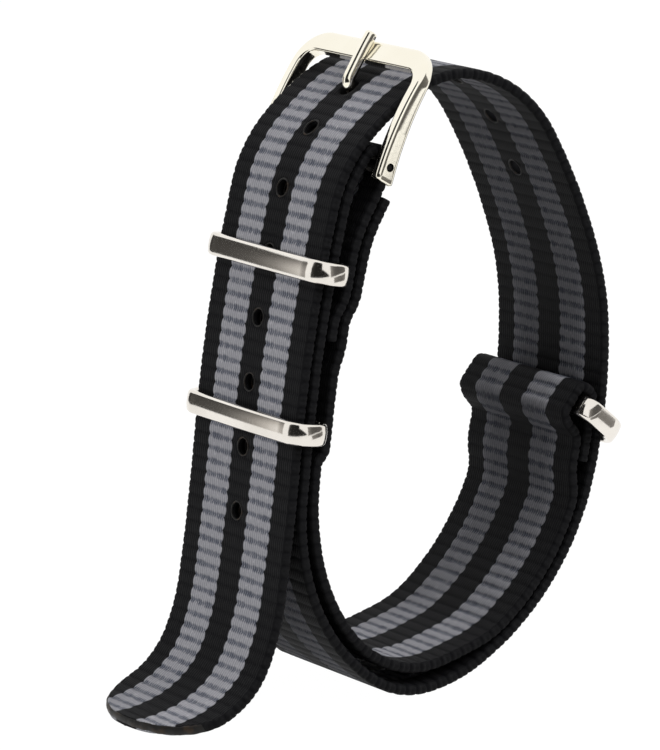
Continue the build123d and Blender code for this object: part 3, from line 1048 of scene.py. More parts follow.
def settle(
    piece: bpy.types.Object, body: str, slot: Slot, *nodes: str, finish: Finish | None = None
) -> None:
    """Sets a finished piece on its body.

    Args:
        piece: The plain mesh object.
        body: The body that it moves with.
        slot: The record's slot; not used.
        nodes: The frame's nodes that it stands for.
        finish: Its finish, where the mesh doesn't have it yet.
    """
    if finish is not None:
        piece.data.materials.clear()
        piece.data.materials.append(finish.material())
    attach(piece, body)
    if nodes:
        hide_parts(*nodes)
    LOG.info("%s: %d faces on %s", piece.name, len(piece.data.polygons), body)


class Shaper:
    """A Geometry Nodes tree that shapes a piece, with named inputs for its sizes."""

    def __init__(self, name: str, sizes: dict[str, float]) -> None:
        """Makes the tree and its inputs.

        Args:
            name: The tree's name.
            sizes: Each size's name, and the number that it starts with.
        """
        self.tree = bpy.data.node_groups.new(name, "GeometryNodeTree")
        faces = self.tree.interface
        faces.new_socket("Geometry", in_out="OUTPUT", socket_type="NodeSocketGeometry")
        kinds = {"Geometry": "Geometry", **dict.fromkeys(sizes, "Float"), "Material": "Material"}
        self.identifiers = {}
        for label, kind in kinds.items():
            socket = faces.new_socket(label, in_out="INPUT", socket_type=f"NodeSocket{kind}")
            self.identifiers[label] = socket.identifier
            if label in sizes:
                socket.default_value = sizes[label]
        self.wires = Wires(self.tree)
        start = self.wires.node("NodeGroupInput")
        self.given = {label: Value(self.wires, start.outputs[label]) for label in kinds}

    def stored(self, name: str) -> Value:
        """The vector that the piece's points carry under a name."""
        return self.wires.output(
            "GeometryNodeInputNamedAttribute", "Attribute", {"Name": name}, data_type="FLOAT_VECTOR"
        )

    def circle(self, sides: int, radius: object) -> Value:
        """A circle."""
        inputs = {"Resolution": sides, "Radius": radius}
        return self.wires.output("GeometryNodeCurvePrimitiveCircle", "Curve", inputs, mode="RADIUS")

    def path(self) -> Value:
        """The piece's own edges as a curve."""
        return self.wires.output(
            "GeometryNodeMeshToCurve", "Curve", {"Mesh": self.given["Geometry"]}
        )

    def swept(self, path: Value, section: Value, caps: bool = False) -> Value:
        """A section led along a path."""
        inputs = {"Curve": path, "Profile Curve": section, "Fill Caps": caps}
        return self.wires.output("GeometryNodeCurveToMesh", "Mesh", inputs)

    def moved(self, geometry: Value, offset: Value) -> Value:
        """A shape whose points are moved."""
        inputs = {"Geometry": geometry, "Offset": offset}
        return self.wires.output("GeometryNodeSetPosition", "Geometry", inputs)

    def lumpy(self, geometry: Value, scale: float) -> Value:
        """A surface that is pushed in and out by the input named Unevenness.

        Args:
            geometry: The shape.
            scale: The noise's scale.

        Returns:
            The uneven shape.
        """
        wires = self.wires
        lumps = wires.noise(wires.output("GeometryNodeInputPosition"), scale, 3.0) - 0.5
        normal = wires.output("GeometryNodeInputNormal", "Normal")
        return self.moved(geometry, wires.scaled(normal, lumps * self.given["Unevenness"]))

    def finish(self, geometry: Value) -> "Shaper":
        """Ends the tree in Set Shade Smooth, Realize Instances and Set Material.

        Args:
            geometry: The shape.

        Returns:
            This shaper.
        """
        wires = self.wires
        smooth = wires.output("GeometryNodeSetShadeSmooth", "Geometry", {"Geometry": geometry})
        real = wires.output("GeometryNodeRealizeInstances", "Geometry", {"Geometry": smooth})
        paint = wires.output(
            "GeometryNodeSetMaterial", "Geometry",
            {"Geometry": real, "Material": self.given["Material"]},
        )
        wires.node("NodeGroupOutput", {0: paint})
        return self

    def work(
        self, name: str, mesh: bpy.types.Mesh, finish: Finish, sizes: dict[str, float]
    ) -> bpy.types.Object:
        """Runs the tree on a mesh.

        Args:
            name: The piece's name.
            mesh: What the tree starts from.
            finish: The piece's finish.
            sizes: The tree's sizes, by name.

        Returns:
            The piece, as a plain mesh.
        """
        piece = linked(name, mesh)
        modifier = piece.modifiers.new(self.tree.name, "NODES")
        modifier.node_group = self.tree
        for label, value in {**sizes, "Material": finish.material()}.items():
            modifier[self.identifiers[label]] = value
        return plain(piece)


def rib_shaper() -> Shaper:
    """Sinks the valleys between ribs into a smooth band, and loops its selvedges.

    Returns:
        The shaper.
    """
    shaper = Shaper("webbing_ribs", {
        "Rib Pitch": 1.45, "Valley Depth": 0.0001,
        "Selvedge Wander": 0.0003, "Selvedge Loop": 0.0001,
    })
    rib_roundness, shallowest, inward = 0.6, 0.8, 0.7
    drift_stretch, selvedge_steps = 0.22, (9.3, 9.95)
    wires, given = shaper.wires, shaper.given
    along, across, relief = wires.parts(shaper.stored("strap_place"))
    ribs = along / given["Rib Pitch"]
    valley = 1.0 - wires.math("SINE", wires.math("FRACT", ribs) * pi) ** rib_roundness
    uneven = wires.output(
        "ShaderNodeTexWhiteNoise", "Value", {"W": wires.math("FLOOR", ribs)}, noise_dimensions="1D"
    )
    depth = given["Valley Depth"] * (shallowest + uneven * (2 * (1 - shallowest)))
    sink = valley * depth * relief
    down = wires.scaled(wires.output("GeometryNodeInputNormal", "Normal"), sink * -1.0)
    drift = wires.noise(wires.combine(along * drift_stretch, 0.0, 0.0), 1.0)
    loops = abs(wires.math("SINE", ribs * (2 * pi)))
    selvedge = wires.step(abs(across), *selvedge_steps) * wires.math("SIGN", across)
    sway = (drift - inward) * given["Selvedge Wander"] + (loops - 1.0) * given["Selvedge Loop"]
    offset = wires.vector("ADD", down, wires.combine(0.0, sway * selvedge, 0.0))
    return shaper.finish(shaper.moved(given["Geometry"], offset))


def bead_shaper() -> Shaper:
    """Runs an uneven melted bead along open edges.

    Returns:
        The shaper.
    """
    sides, lump_scale = 14, 900.0
    shaper = Shaper("melted_bead", {
        "Bead Width": 0.0004, "Bead Height": 0.0011, "Unevenness": 0.0002,
    })
    wires, given = shaper.wires, shaper.given
    size = wires.combine(given["Bead Width"], given["Bead Height"], 1.0)
    section = wires.output(
        "GeometryNodeTransform", "Geometry", {"Geometry": shaper.circle(sides, 0.5), "Scale": size}
    )
    bead = shaper.swept(shaper.path(), section, caps=True)
    return shaper.finish(shaper.lumpy(bead, lump_scale))


def rim_shaper() -> Shaper:
    """Sets a melted rim round each hole, from points that carry a turn.

    Returns:
        The shaper.
    """
    round_sides, section_sides, lump_scale = 22, 6, 1100.0
    shaper = Shaper("hole_rims", {
        "Rim Radius": 0.001, "Rim Thickness": 0.0001, "Unevenness": 0.0001,
    })
    wires, given = shaper.wires, shaper.given
    rim = shaper.swept(
        shaper.circle(round_sides, given["Rim Radius"]),
        shaper.circle(section_sides, given["Rim Thickness"]),
    )
    turn = wires.output("FunctionNodeEulerToRotation", 0, {0: shaper.stored("turn")})
    inputs = {"Points": given["Geometry"], "Instance": rim, "Rotation": turn}
    rims = wires.output("GeometryNodeInstanceOnPoints", "Instances", inputs)
    real = wires.output("GeometryNodeRealizeInstances", "Geometry", {"Geometry": rims})
    return shaper.finish(shaper.lumpy(real, lump_scale))


def strip_shaper() -> Shaper:
    """Runs a rounded flat strip, crowned outside, along a closed path in the XY plane.

    Returns:
        The shaper.
    """
    corner_points, face_cuts, outside_steps = 6, 2, (-0.0001, 0.0003)
    shaper = Shaper("keeper_strip", {
        "Strip Width": 0.0026, "Strip Thickness": 0.0008, "Edge Radius": 0.0002, "Crown": 0.00006,
    })
    wires, given = shaper.wires, shaper.given
    level = wires.output(
        "GeometryNodeSetCurveNormal", "Curve", {"Curve": shaper.path()}, mode="Z_UP"
    )
    size = {"Width": given["Strip Thickness"], "Height": given["Strip Width"]}
    strip = wires.output("GeometryNodeCurvePrimitiveQuadrilateral", "Curve", size, mode="RECTANGLE")
    rounded = wires.output(
        "GeometryNodeFilletCurve", "Curve",
        {"Curve": strip, "Count": corner_points, "Radius": given["Edge Radius"]}, mode="POLY",
    )
    finer = wires.output(
        "GeometryNodeSubdivideCurve", "Curve", {"Curve": rounded, "Cuts": face_cuts}
    )
    out, across, _ = wires.parts(wires.output("GeometryNodeInputPosition"))
    reach = across / (given["Strip Width"] * 0.5)
    dome = 1.0 - reach * reach
    lift = given["Crown"] * dome * wires.step(out, *outside_steps)
    solid = shaper.swept(level, shaper.moved(finer, wires.combine(lift, 0.0, 0.0)))
    _, depth, _ = wires.parts(wires.output("GeometryNodeInputPosition"))
    proud = wires.math("MAXIMUM", given["Strip Thickness"] * -0.5 - depth, 0.0)
    return shaper.finish(shaper.moved(solid, wires.combine(0.0, proud, 0.0)))


@dataclass(frozen=True)
class Opening:
    """A round-ended opening through the webbing, which may slant from face to face."""

    outer_along: float
    inner_along: float
    outer_half: float
    inner_half: float
    half_width: float
    corner: float

    def core(self, outer: np.ndarray) -> tuple[np.ndarray, np.ndarray]:
        """The opening's middle and its half length without corners, by face.

        Args:
            outer: Whether each place is on the outer face.

        Returns:
            The middles and the half lengths.
        """
        return (
            np.where(outer, self.outer_along, self.inner_along),
            np.where(outer, self.outer_half, self.inner_half) - self.corner,
        )

    def edge(self, along: np.ndarray, across: np.ndarray, outer: np.ndarray) -> np.ndarray:
        """How far each place lies outside the opening's edge.

        Args:
            along: Distances along the strap.
            across: Distances across it.
            outer: Whether each place is on the outer face.

        Returns:
            The distances, negative inside the opening.
        """
        middle, half = self.core(outer)
        past = np.abs(along - middle) - half
        beside = np.abs(across) - (self.half_width - self.corner)
        inside = np.minimum(np.maximum(past, beside), 0)
        return np.hypot(np.maximum(past, 0), np.maximum(beside, 0)) + inside - self.corner

    def snapped(
        self, along: np.ndarray, across: np.ndarray, outer: np.ndarray
    ) -> tuple[np.ndarray, np.ndarray]:
        """Places beside the opening, moved onto its edge.

        Args:
            along: Distances along the strap.
            across: Distances across it.
            outer: Whether each place is on the outer face.

        Returns:
            The new distances along and across.
        """
        middle, half = self.core(outer)
        side = self.half_width - self.corner
        core_u = np.clip(along - middle, -half, half)
        core_v = np.clip(across, -side, side)
        u, v = along - middle - core_u, across - core_v
        reach = np.maximum(np.hypot(u, v), NEARLY_STRAIGHT)
        return middle + core_u + u / reach * self.corner, core_v + v / reach * self.corner


@dataclass
class Webbing:
    """The two straps, as ribbed bands with punched holes."""

    layout: StrapLayout
    rib_pitch: float = 1.45
    valley_depth: float = 0.11
    selvedge_wander: float = 0.3
    selvedge_loop: float = 0.14
    rib_marks: tuple = (0.0, 0.12, 0.25, 0.38, 0.5, 0.62, 0.75, 0.88)
    column_places: tuple = (0.0, 0.35, 0.7, 1.0, 1.3, 1.8, 3.0, 5.0, 7.0, 8.6, 9.3)
    selvedge_round: float = 0.45
    selvedge_steps: tuple = (0.0, 30.0, 60.0)
    selvedge_relief: float = 0.45
    start_relief: float = 0.3
    face_share: float = 0.9
    hole_radius: float = 1.0
    hole_pitch: float = 7.2
    first_hole_down: float = 6.9
    tail_holes: int = 7
    first_far_hole_up: float = 7.5
    far_holes: int = 4
    tip_length: float = 8.0
    tip_half_width: float = 10.05
    tip_turns: tuple = (70, 75, 79, 82, 84.5, 86.5, 88, 89.2)
    last_rib_gap: float = 0.02
    rim_sink: float = 0.1
    tongue_hole_down: float = 0.55
    tongue_hole_half: float = 1.25
    tongue_way: float = 0.9
    notch_overrun: tuple = (0.7, 2.0)
    notch_half_width: float = 1.4
    notch_corner: float = 0.4
    finish: RibbedWeave = field(default_factory=RibbedWeave)
    shaper: Shaper = field(default_factory=rib_shaper)

    def build(self) -> None:
        """Makes both straps."""
        self.band("long_strap", "main_strap", self.layout.long, self.openings(), rounded=True)
        self.band("short_strap_webbing", "short_strap", self.layout.short, [], rounded=False)

    def hole_distances(self) -> list[float]:
        """Distances of the holes' centres along the long strap."""
        start = self.layout.loop_start + self.layout.tail_start
        tail = [start + self.first_hole_down + self.hole_pitch * i for i in range(self.tail_holes)]
        far = [start - self.first_far_hole_up - self.hole_pitch * i for i in range(self.far_holes)]
        return tail + far

    def openings(self) -> list[Opening]:
        """The holes, the tongue's slanted way through the tail and the fold's notch for its eye.

        Returns:
            The long strap's openings.
        """
        r = self.hole_radius
        holes = [Opening(s, s, r, r, r, r) for s in self.hole_distances()]
        top = self.layout.loop_start + self.layout.tail_start + self.tongue_hole_down
        half, way = self.tongue_hole_half, self.tongue_way
        slot = Opening(top, top + way, half, half + way, r, r)
        middle = self.layout.wrap_middle
        outer, inner = (self.layout.wrap_half_length + more for more in self.notch_overrun)
        notch = Opening(middle, middle, outer, inner, self.notch_half_width, self.notch_corner)
        return holes + [slot, notch]

    def tip_width(self, along: np.ndarray) -> np.ndarray:
        """Share of the full width that is left at each distance along the long strap.

        Args:
            along: The distances.

        Returns:
            The shares.
        """
        start = self.layout.long.length - self.tip_length
        share = np.clip((along - start) / self.tip_length, 0, 1)
        round_off = self.tip_half_width / (self.layout.width / 2) * np.sqrt(1 - share**2)
        return np.minimum(round_off, 1.0)

    def rows(self, route: Route, rounded: bool) -> np.ndarray:
        """Distances of the band's rows, a few to each rib.

        Args:
            route: The band's centre line.
            rounded: Whether it ends in the rounded tip, where the rows lie closer.

        Returns:
            The distances.
        """
        ribs = int(route.length / self.rib_pitch) + 1
        marks = (np.arange(ribs)[:, None] + np.array(self.rib_marks)).ravel() * self.rib_pitch
        marks = marks[marks < route.length - self.last_rib_gap]
        if not rounded:
            return np.append(marks, route.length)
        tips = route.length - self.tip_length * (1 - np.sin(np.radians(self.tip_turns)))
        return np.append(marks[marks < tips[0]], tips)

    def section(self) -> tuple[np.ndarray, np.ndarray]:
        """Places across and to the left, once round the band's section.

        Returns:
            The distances across and to the left.
        """
        side, half = self.layout.width / 2, self.layout.half_thickness
        steps = np.radians(self.selvedge_steps)
        flat = np.array(self.column_places)
        y = np.concatenate([flat, side - self.selvedge_round * (1 - np.sin(steps))])
        n = np.concatenate([np.full(len(flat), half), half * np.cos(steps)])
        face_y = np.concatenate([-y[:0:-1], y])
        face_n = -np.concatenate([n[:0:-1], n])
        return (
            np.concatenate([face_y, [side], face_y[::-1], [-side]]),
            np.concatenate([face_n, [0.0], -face_n[::-1], [0.0]]),
        )

    def band(
        self, name: str, node: str, route: Route, openings: list[Opening], rounded: bool
    ) -> None:
        """One ribbed band.

        Args:
            name: The piece's name.
            node: The frame's node that the piece stands for.
            route: Its centre line.
            openings: What is cut through it.
            rounded: Whether it ends in the rounded tip.
        """
        half = self.layout.half_thickness
        across, left = self.section()
        count = len(across)
        rows = self.rows(route, rounded)
        share = self.tip_width(rows) if rounded else np.ones(len(rows))
        along = np.repeat(rows, count)
        across = np.tile(across, len(rows)) * np.repeat(share, count)
        left = np.tile(left, len(rows))
        outer = left < 0
        relief = np.where(np.abs(left) < half - NEARLY_STRAIGHT, self.selvedge_relief, 1.0)
        relief[:count] = self.start_relief
        relief[-count:] = 0.0
        index = np.arange(len(along)).reshape(len(rows), count)
        a, b = index[:-1], index[1:]
        quads = np.stack([a, np.roll(a, -1, axis=1), np.roll(b, -1, axis=1), b], axis=2)
        quads = quads.reshape(-1, 4)
        away = np.array([opening.edge(along, across, outer) for opening in openings])
        away = away.reshape(len(openings), len(along))
        dropped = (away < 0).any(axis=0) & (np.abs(left) > half * self.face_share)
        holed = dropped[quads].any(axis=1)
        beside = np.zeros(len(along), bool)
        beside[quads[holed].ravel()] = True
        beside &= ~dropped
        owner = np.full(len(along), -1)
        for number, opening in enumerate(openings):
            chosen = beside & (away.argmin(axis=0) == number)
            owner[chosen] = number
            along[chosen], across[chosen] = opening.snapped(
                along[chosen], across[chosen], outer[chosen]
            )
            left[chosen] *= 1 - self.rim_sink / half
            relief[chosen] = 0.0
        used = np.zeros(len(along), bool)
        used[quads[~holed].ravel()] = True
        fresh = np.cumsum(used) - 1
        faces = fresh[quads[~holed]].tolist() + [fresh[index[0][::-1]], fresh[index[-1]]]
        mesh = mesh_of(name, route.points(along, across, left)[used], faces)
        marked(mesh, "strap_place", "FLOAT_VECTOR", np.stack([along, across, relief], axis=1)[used])
        marked(mesh, "opening", "INT", (owner + 1)[used])
        self.bridge(mesh, len(openings))
        mesh.attributes.remove(mesh.attributes["opening"])
        piece = self.shaper.work(name, mesh, self.finish, {
            "Rib Pitch": self.rib_pitch,
            "Valley Depth": self.valley_depth * MM,
            "Selvedge Wander": self.selvedge_wander * MM,
            "Selvedge Loop": self.selvedge_loop * MM,
        })
        settle(piece, "webbing", Slot.WEBBING, node)

    @staticmethod
    def bridge(mesh: bpy.types.Mesh, openings: int) -> None:
        """Walls each opening in, from its edge on one face to its edge on the other.

        Args:
            mesh: The band, whose points carry the number of the opening beside them.
            openings: How many openings there are.
        """
        work = bmesh.new()
        work.from_mesh(mesh)
        layer = work.verts.layers.int["opening"]
        loops: dict[int, list] = {}
        for edge in work.edges:
            if edge.is_boundary:
                loops.setdefault(edge.verts[0][layer], []).append(edge)
        for number in range(1, openings + 1):
            if number in loops:
                bmesh.ops.bridge_loops(work, edges=loops[number])
        bmesh.ops.recalc_face_normals(work, faces=work.faces)
        work.to_mesh(mesh)
        work.free()


@dataclass
class MeltedEdges:
    """The webbing's heat-sealed edges: a bead round the tip and rims round the holes."""

    layout: StrapLayout
    webbing: Webbing
    bead_width: float = 0.46
    bead_height: float = 1.02
    bead_unevenness: float = 0.3
    bead_span: float = 74.0
    bead_steps: int = 90
    bead_set_back: float = 0.12
    bead_sink: float = 0.1
    end_sink: float = 0.4
    end_sink_turns: tuple = (50, 22)
    rim_radius: float = 1.02
    rim_thickness: float = 0.1
    rim_unevenness: float = 0.12
    rim_level: float = 0.5
    finish: MeltedNylon = field(default_factory=MeltedNylon)

    def build(self) -> None:
        """Makes the bead and the rims."""
        self.tip_bead()
        self.rims()

    def tip_bead(self) -> None:
        """The bead of melted yarn round the rounded tip, which sinks in at its ends."""
        turns = np.radians(np.linspace(-self.bead_span, self.bead_span, self.bead_steps))
        first, span = self.end_sink_turns
        ends = np.clip((np.abs(np.degrees(turns)) - first) / span, 0, 1)
        sunk = self.bead_sink + self.end_sink * ends**2
        length = self.webbing.tip_length
        across = (self.webbing.tip_half_width - sunk) * np.sin(turns)
        along = self.layout.long.length - length + (length - self.bead_set_back) * np.cos(turns)
        points = self.layout.long.points(along, across, np.zeros(len(along)))
        line = mesh_of("tip_bead", points, edges=[(i, i + 1) for i in range(len(points) - 1)])
        bead = bead_shaper().work("tip_bead", line, self.finish, {
            "Bead Width": self.bead_width * MM,
            "Bead Height": self.bead_height * MM,
            "Unevenness": self.bead_unevenness * MM,
        })
        outward(bead.data)
        settle(bead, "webbing", Slot.WEBBING)

    def rims(self) -> None:
        """Rims of melted yarn round the holes, on both faces."""
        along = np.repeat(self.webbing.hole_distances(), 2)
        level = np.tile([-self.rim_level, self.rim_level], len(along) // 2)
        spots = mesh_of("hole_rims", self.layout.long.points(along, np.zeros(len(along)), level))
        headings = [self.layout.long.station(distance).heading for distance in along]
        turns = [(0.0, -radians(heading), 0.0) for heading in headings]
        marked(spots, "turn", "FLOAT_VECTOR", turns)
        rims = rim_shaper().work("hole_rims", spots, self.finish, {
            "Rim Radius": self.rim_radius * MM,
            "Rim Thickness": self.rim_thickness * MM,
            "Unevenness": self.rim_unevenness * MM,
        })
        outward(rims.data)
        settle(rims, "webbing", Slot.WEBBING)


@dataclass
class KeeperRings:
    """The three rings of bent flat strip."""

    layout: StrapLayout
    inner_half_width: float = 10.8
    corner: float = 1.9
    shoulder: float = 0.5
    bow: float = 0.2
    edge: float = 0.36
    crown: float = 0.2
    front_corner: float = 2.6
    corner_steps: int = 22
    front_steps: int = 17
    bodies: dict = field(default_factory=lambda: {
        "keeper_upper": "upper_keeper", "keeper_lower": "lower_keeper",
        "keeper_free_ring": "free_ring",
    })
    finish: Steel = field(default_factory=lambda: Steel(
        "ring_steel", (0.83, 0.79, 0.73, 1), (0.75, 0.71, 0.65, 1), 0.09, 0.05,
    ))

    def build(self) -> None:
        """Makes the rings, each in its place on the straps."""
        shaper = strip_shaper()
        for node, (seat, pitch) in self.layout.keeper_seats().items():
            path = self.path(pitch)
            count = len(path)
            line = mesh_of(node, path, edges=[(i, (i + 1) % count) for i in range(count)])
            ring = shaper.work(node + "_ring", line, self.finish, {
                "Strip Width": self.layout.strip_width * MM,
                "Strip Thickness": self.layout.strip_thickness * MM,
                "Edge Radius": self.edge * MM,
                "Crown": self.crown * MM,
            })
            outward(ring.data)
            heading = radians(seat.heading)
            out = Vector((sin(heading), 0, -cos(heading)))
            along = Vector((-cos(heading), 0, -sin(heading)))
            side = Vector((0, 1, 0))
            place = Matrix.Translation(Vector((seat.x, 0, seat.z)) * MM)
            ring.data.transform(place @ Matrix((side, out, along)).transposed().to_4x4())
            settle(smoothed(ring), self.bodies[node], Slot.KEEPER, node)

    def path(self, pitch: float) -> np.ndarray:
        """The middle line of the strip.

        Args:
            pitch: Distance from the back bar to the front bar's shoulders.

        Returns:
            Its points, from the back bar round to the bowed front and back.
        """
        half_strip = self.layout.strip_thickness / 2
        half = self.inner_half_width + half_strip
        radius, wide = self.corner - half_strip, self.front_corner - half_strip
        front = half - wide - self.shoulder
        bend = (front**2 + self.bow**2) / (2 * self.bow)
        turns = np.linspace(0, pi / 2, self.corner_steps)
        points = [(half - radius + radius * sin(t), radius - radius * cos(t)) for t in turns]
        points += [(half - wide + wide * cos(t), pitch - wide + wide * sin(t)) for t in turns]
        points += [
            (x, pitch + self.bow - bend + sqrt(bend**2 - x**2))
            for x in front * np.linspace(1, 0, self.front_steps)
        ]
        right = np.array(points)
        both = np.vstack([right, right[-2::-1] * (-1, 1)])
        return np.column_stack([both, np.zeros(len(both))])


class BowStation(NamedTuple):
    """A place round the bow: outer and inner points, and how far both are drawn in."""

    outer_u: float
    outer_y: float
    inner_u: float
    inner_y: float
    inset: float = 0.0


@dataclass
class Buckle:
    """The bowed frame and its tongue, placed from their pin.

    In their own axes u runs from the pin to the front bar, y across and n out of the strap.
    """

    layout: StrapLayout
    frame_angle: float = 54.37
    half_width: float = 12.0
    inner_half_width: float = 10.6
    bar_reach: float = 12.2
    bar_width: float = 2.6
    ear_end: float = 1.8
    top_marks: tuple = ((-1.8, 0.95), (5.85, 1.6), (13.5, 0.75))
    low_marks: tuple = ((-1.8, -1.55), (5.85, -0.4), (13.5, -0.75))
    corner: float = 4.2
    window_corner: float = 1.9
    edge: float = 0.28
    window_edge: float = 0.34
    outer_edge: float = 0.55
    edge_steps: int = 6
    ear_corner: float = 0.45
    ear_turns: tuple = (0, 22.5, 45, 67.5, 90)
    ear_hole_radius: float = 0.475
    bore_lean: float = 0.5
    leg_steps: int = 26
    corner_steps: int = 25
    bar_steps: int = 12
    bow_sharp: float = 32.0
    overrun: float = 1.0
    rod_sides: int = 32
    tongue_radius: float = 0.7
    tongue_seat_gap: float = 0.05
    tongue_marks: tuple = ((1.2, 0.35), (8.2, 1.35), (14.6, 1.25))
    notch_steps: int = 24
    notch_sides: int = 40
    tongue_line: tuple = (
        (1.2, 0.12), (2.6, 0.12), (4.0, 0.02), (5.2, -0.16), (6.0, -0.3), (6.55, -0.3),
        (6.95, -0.12), (7.25, 0.22), (7.5, 0.65), (7.72, 1.05), (8.05, 1.36), (8.5, 1.5),
        (9.3, 1.5), (10.6, 1.47), (12.2, 1.42), (13.4, 1.33), (14.1, 1.26),
    )
    tongue_steps: int = 6
    tongue_sides: int = 36
    tongue_sharp: float = 38.0
    tip_edge: float = 0.25
    tip_gap: float = 0.05
    tip_turns: tuple = (0, 20, 40, 60, 75, 90)
    eye_radii: tuple = (0.96, 1.51)
    eye_half_width: float = 1.1
    eye_edge: float = 0.12
    eye_edge_turns: tuple = (30, 60, 90)
    eye_sides: int = 48
    eye_shade_reach: float = 3.4
    finish: Steel = field(default_factory=Steel)

    def build(self) -> None:
        """Makes the frame and the tongue."""
        self.bow()
        self.tongue()

    def placed(self, piece: bpy.types.Object) -> bpy.types.Object:
        """Moves a piece from the frame's own axes to its place.

        Args:
            piece: The piece.

        Returns:
            The same piece.
        """
        turn = Matrix.Rotation(-radians(self.frame_angle), 4, "Y")
        pin = Matrix.Translation(Vector((self.layout.pin.x, 0, self.layout.pin.z)) * MM)
        piece.data.transform(pin @ turn)
        return piece

    @staticmethod
    def height(marks: Sequence[tuple[float, float]], u: float) -> float:
        """Height of the arc through three marks, a distance along the frame."""
        x, z, radius = circle_through(marks)
        rise = sqrt(max(radius**2 - (u - x) ** 2, 0))
        return z + (rise if marks[1][1] > z else -rise)

    def stations(self) -> list[BowStation]:
        """Places round one half of the bow, from the ear's end to the middle of the front bar.

        Returns:
            The places.
        """
        side, inner = self.half_width, self.inner_half_width
        result = []
        for turn in np.radians(self.ear_turns):
            u = -self.ear_end + self.edge * (1 - cos(turn))
            result.append(BowStation(u, side, u, inner, self.edge * (1 - sin(turn))))
        start = -self.ear_end + self.edge
        reach = self.bar_reach + self.bar_width / 2 - self.corner
        window = self.bar_reach - self.bar_width / 2 - self.window_corner
        for share in np.linspace(0, 1, self.leg_steps)[1:-1]:
            outer_u, inner_u = start + (reach - start) * share, start + (window - start) * share
            result.append(BowStation(outer_u, side, inner_u, inner))
        for turn in np.linspace(0, pi / 2, self.corner_steps):
            result.append(BowStation(
                reach + self.corner * sin(turn), side - self.corner * (1 - cos(turn)),
                window + self.window_corner * sin(turn),
                inner - self.window_corner * (1 - cos(turn)),
            ))
        last = result[-1]
        for share in np.linspace(1, 0, self.bar_steps)[1:]:
            result.append(last._replace(outer_y=last.outer_y * share, inner_y=last.inner_y * share))
        return result

    def section(self, station: BowStation) -> list[tuple[float, float, float]]:
        """The rounded section of the bow.

        Args:
            station: The place round the bow.

        Returns:
            Its points, once round.
        """
        outer_u, outer_y, inner_u, inner_y, inset = station
        width = hypot(outer_u - inner_u, outer_y - inner_y)
        points = []
        for corner in range(4):
            outer, top = corner in (0, 3), corner in (0, 1)
            edge = self.outer_edge if outer else self.window_edge
            for step in range(self.edge_steps + 1):
                turn = pi / 2 * (corner + step / self.edge_steps)
                sideways = edge - edge * abs(cos(turn)) + inset
                share = 1 - sideways / width if outer else sideways / width
                u = inner_u + (outer_u - inner_u) * share
                y = inner_y + (outer_y - inner_y) * share
                drawn = edge - edge * abs(sin(turn)) + self.ear_rounding(u)
                marks = self.top_marks if top else self.low_marks
                points.append((u, y, self.height(marks, u) + (-drawn if top else drawn)))
        return points

    def ear_rounding(self, u: float) -> float:
        """How far the ear's rounded end draws its upper and lower faces in."""
        into = max(self.ear_corner - (u + self.ear_end), 0.0)
        return self.ear_corner - sqrt(max(self.ear_corner**2 - into**2, 0))

    def bow(self) -> None:
        """The frame: a rounded section led from one ear round the front bar to the other."""
        half = np.array([self.section(station) for station in self.stations()])
        bow = lofted("buckle_bow", np.concatenate([half, half[-2::-1] * (1, -1, 1)]))
        hole = self.rod_across("ear_hole", self.ear_hole_radius, self.half_width + self.overrun)
        bow = cut(bow, hole, "DIFFERENCE")
        seat = self.tongue_radius + self.tongue_seat_gap
        line = self.notch_line()
        notch = tube_along("notch", line, [seat] * len(line), self.notch_sides)
        bow = cut(bow, notch, "DIFFERENCE")
        # Faces inside the ear hole get painted shade: near-black, rougher steel.
        marked(bow.data, "dull", "FLOAT", [
            hypot(face.center.x, face.center.z) < self.ear_hole_radius * MM
            and abs(face.normal.y) < self.bore_lean
            for face in bow.data.polygons
        ], "FACE")
        bow = smoothed(bow, self.bow_sharp)
        settle(self.placed(bow), "buckle", Slot.POLISHED, "buckle_frame", finish=self.finish)

    def rod_across(self, name: str, radius: float, reach: float) -> bpy.types.Object:
        """A round bar that lies across the strap on the pin's line.

        Args:
            name: The bar's name.
            radius: Its radius.
            reach: How far it reaches to each side.

        Returns:
            The bar's object.
        """
        turns = np.linspace(0, 2 * pi, self.rod_sides, endpoint=False)
        return lofted(name, np.array([
            [(radius * cos(t), y, radius * sin(t)) for t in turns] for y in (-reach, reach)
        ]))

    def notch_line(self) -> np.ndarray:
        """The arc that the tongue's seat in the front bar follows, longer than the tongue."""
        x, z, radius = circle_through(self.tongue_marks)
        first, last = self.tongue_marks[0], self.tongue_marks[2]
        start = atan2(first[1] - z, first[0] - x) + self.overrun / radius
        end = atan2(last[1] - z, last[0] - x) - 2 * self.overrun / radius
        return np.array([
            (x + radius * cos(turn), z + radius * sin(turn))
            for turn in np.linspace(start, end, self.notch_steps)
        ])

    def tongue(self) -> None:
        """The tongue: a bent rod with a rounded-off tip, on an eye."""
        points = smooth_line(self.tongue_line, self.tongue_steps)
        end, tip = points[-1], self.tip_edge
        step = (end - points[-2]) / np.linalg.norm(end - points[-2])
        line = [point for point in points if np.linalg.norm(point - end) > tip + self.tip_gap]
        radii = [self.tongue_radius] * len(line)
        for turn in np.radians(self.tip_turns):
            line.append(end - step * tip * (1 - sin(turn)))
            radii.append(self.tongue_radius - tip * (1 - cos(turn)))
        rod = tube_along("tongue_rod", np.array(line), radii, self.tongue_sides)
        bore = self.rod_across("bore", self.eye_radii[0], 3 * self.overrun)
        tongue = cut(self.eye(), cut(rod, bore, "DIFFERENCE"), "UNION")
        tongue.name = tongue.data.name = "tongue_with_eye"
        # The eye, round the pin inside the strap's fold, gets painted shade: near-black, rougher
        # steel.
        away = [vertex.co.length / MM for vertex in tongue.data.vertices]
        marked(tongue.data, "dull", "FLOAT", np.clip(self.eye_shade_reach - np.array(away), 0, 1))
        tongue = smoothed(tongue, self.tongue_sharp)
        settle(self.placed(tongue), "tongue", Slot.POLISHED, "buckle_tongue", finish=self.finish)

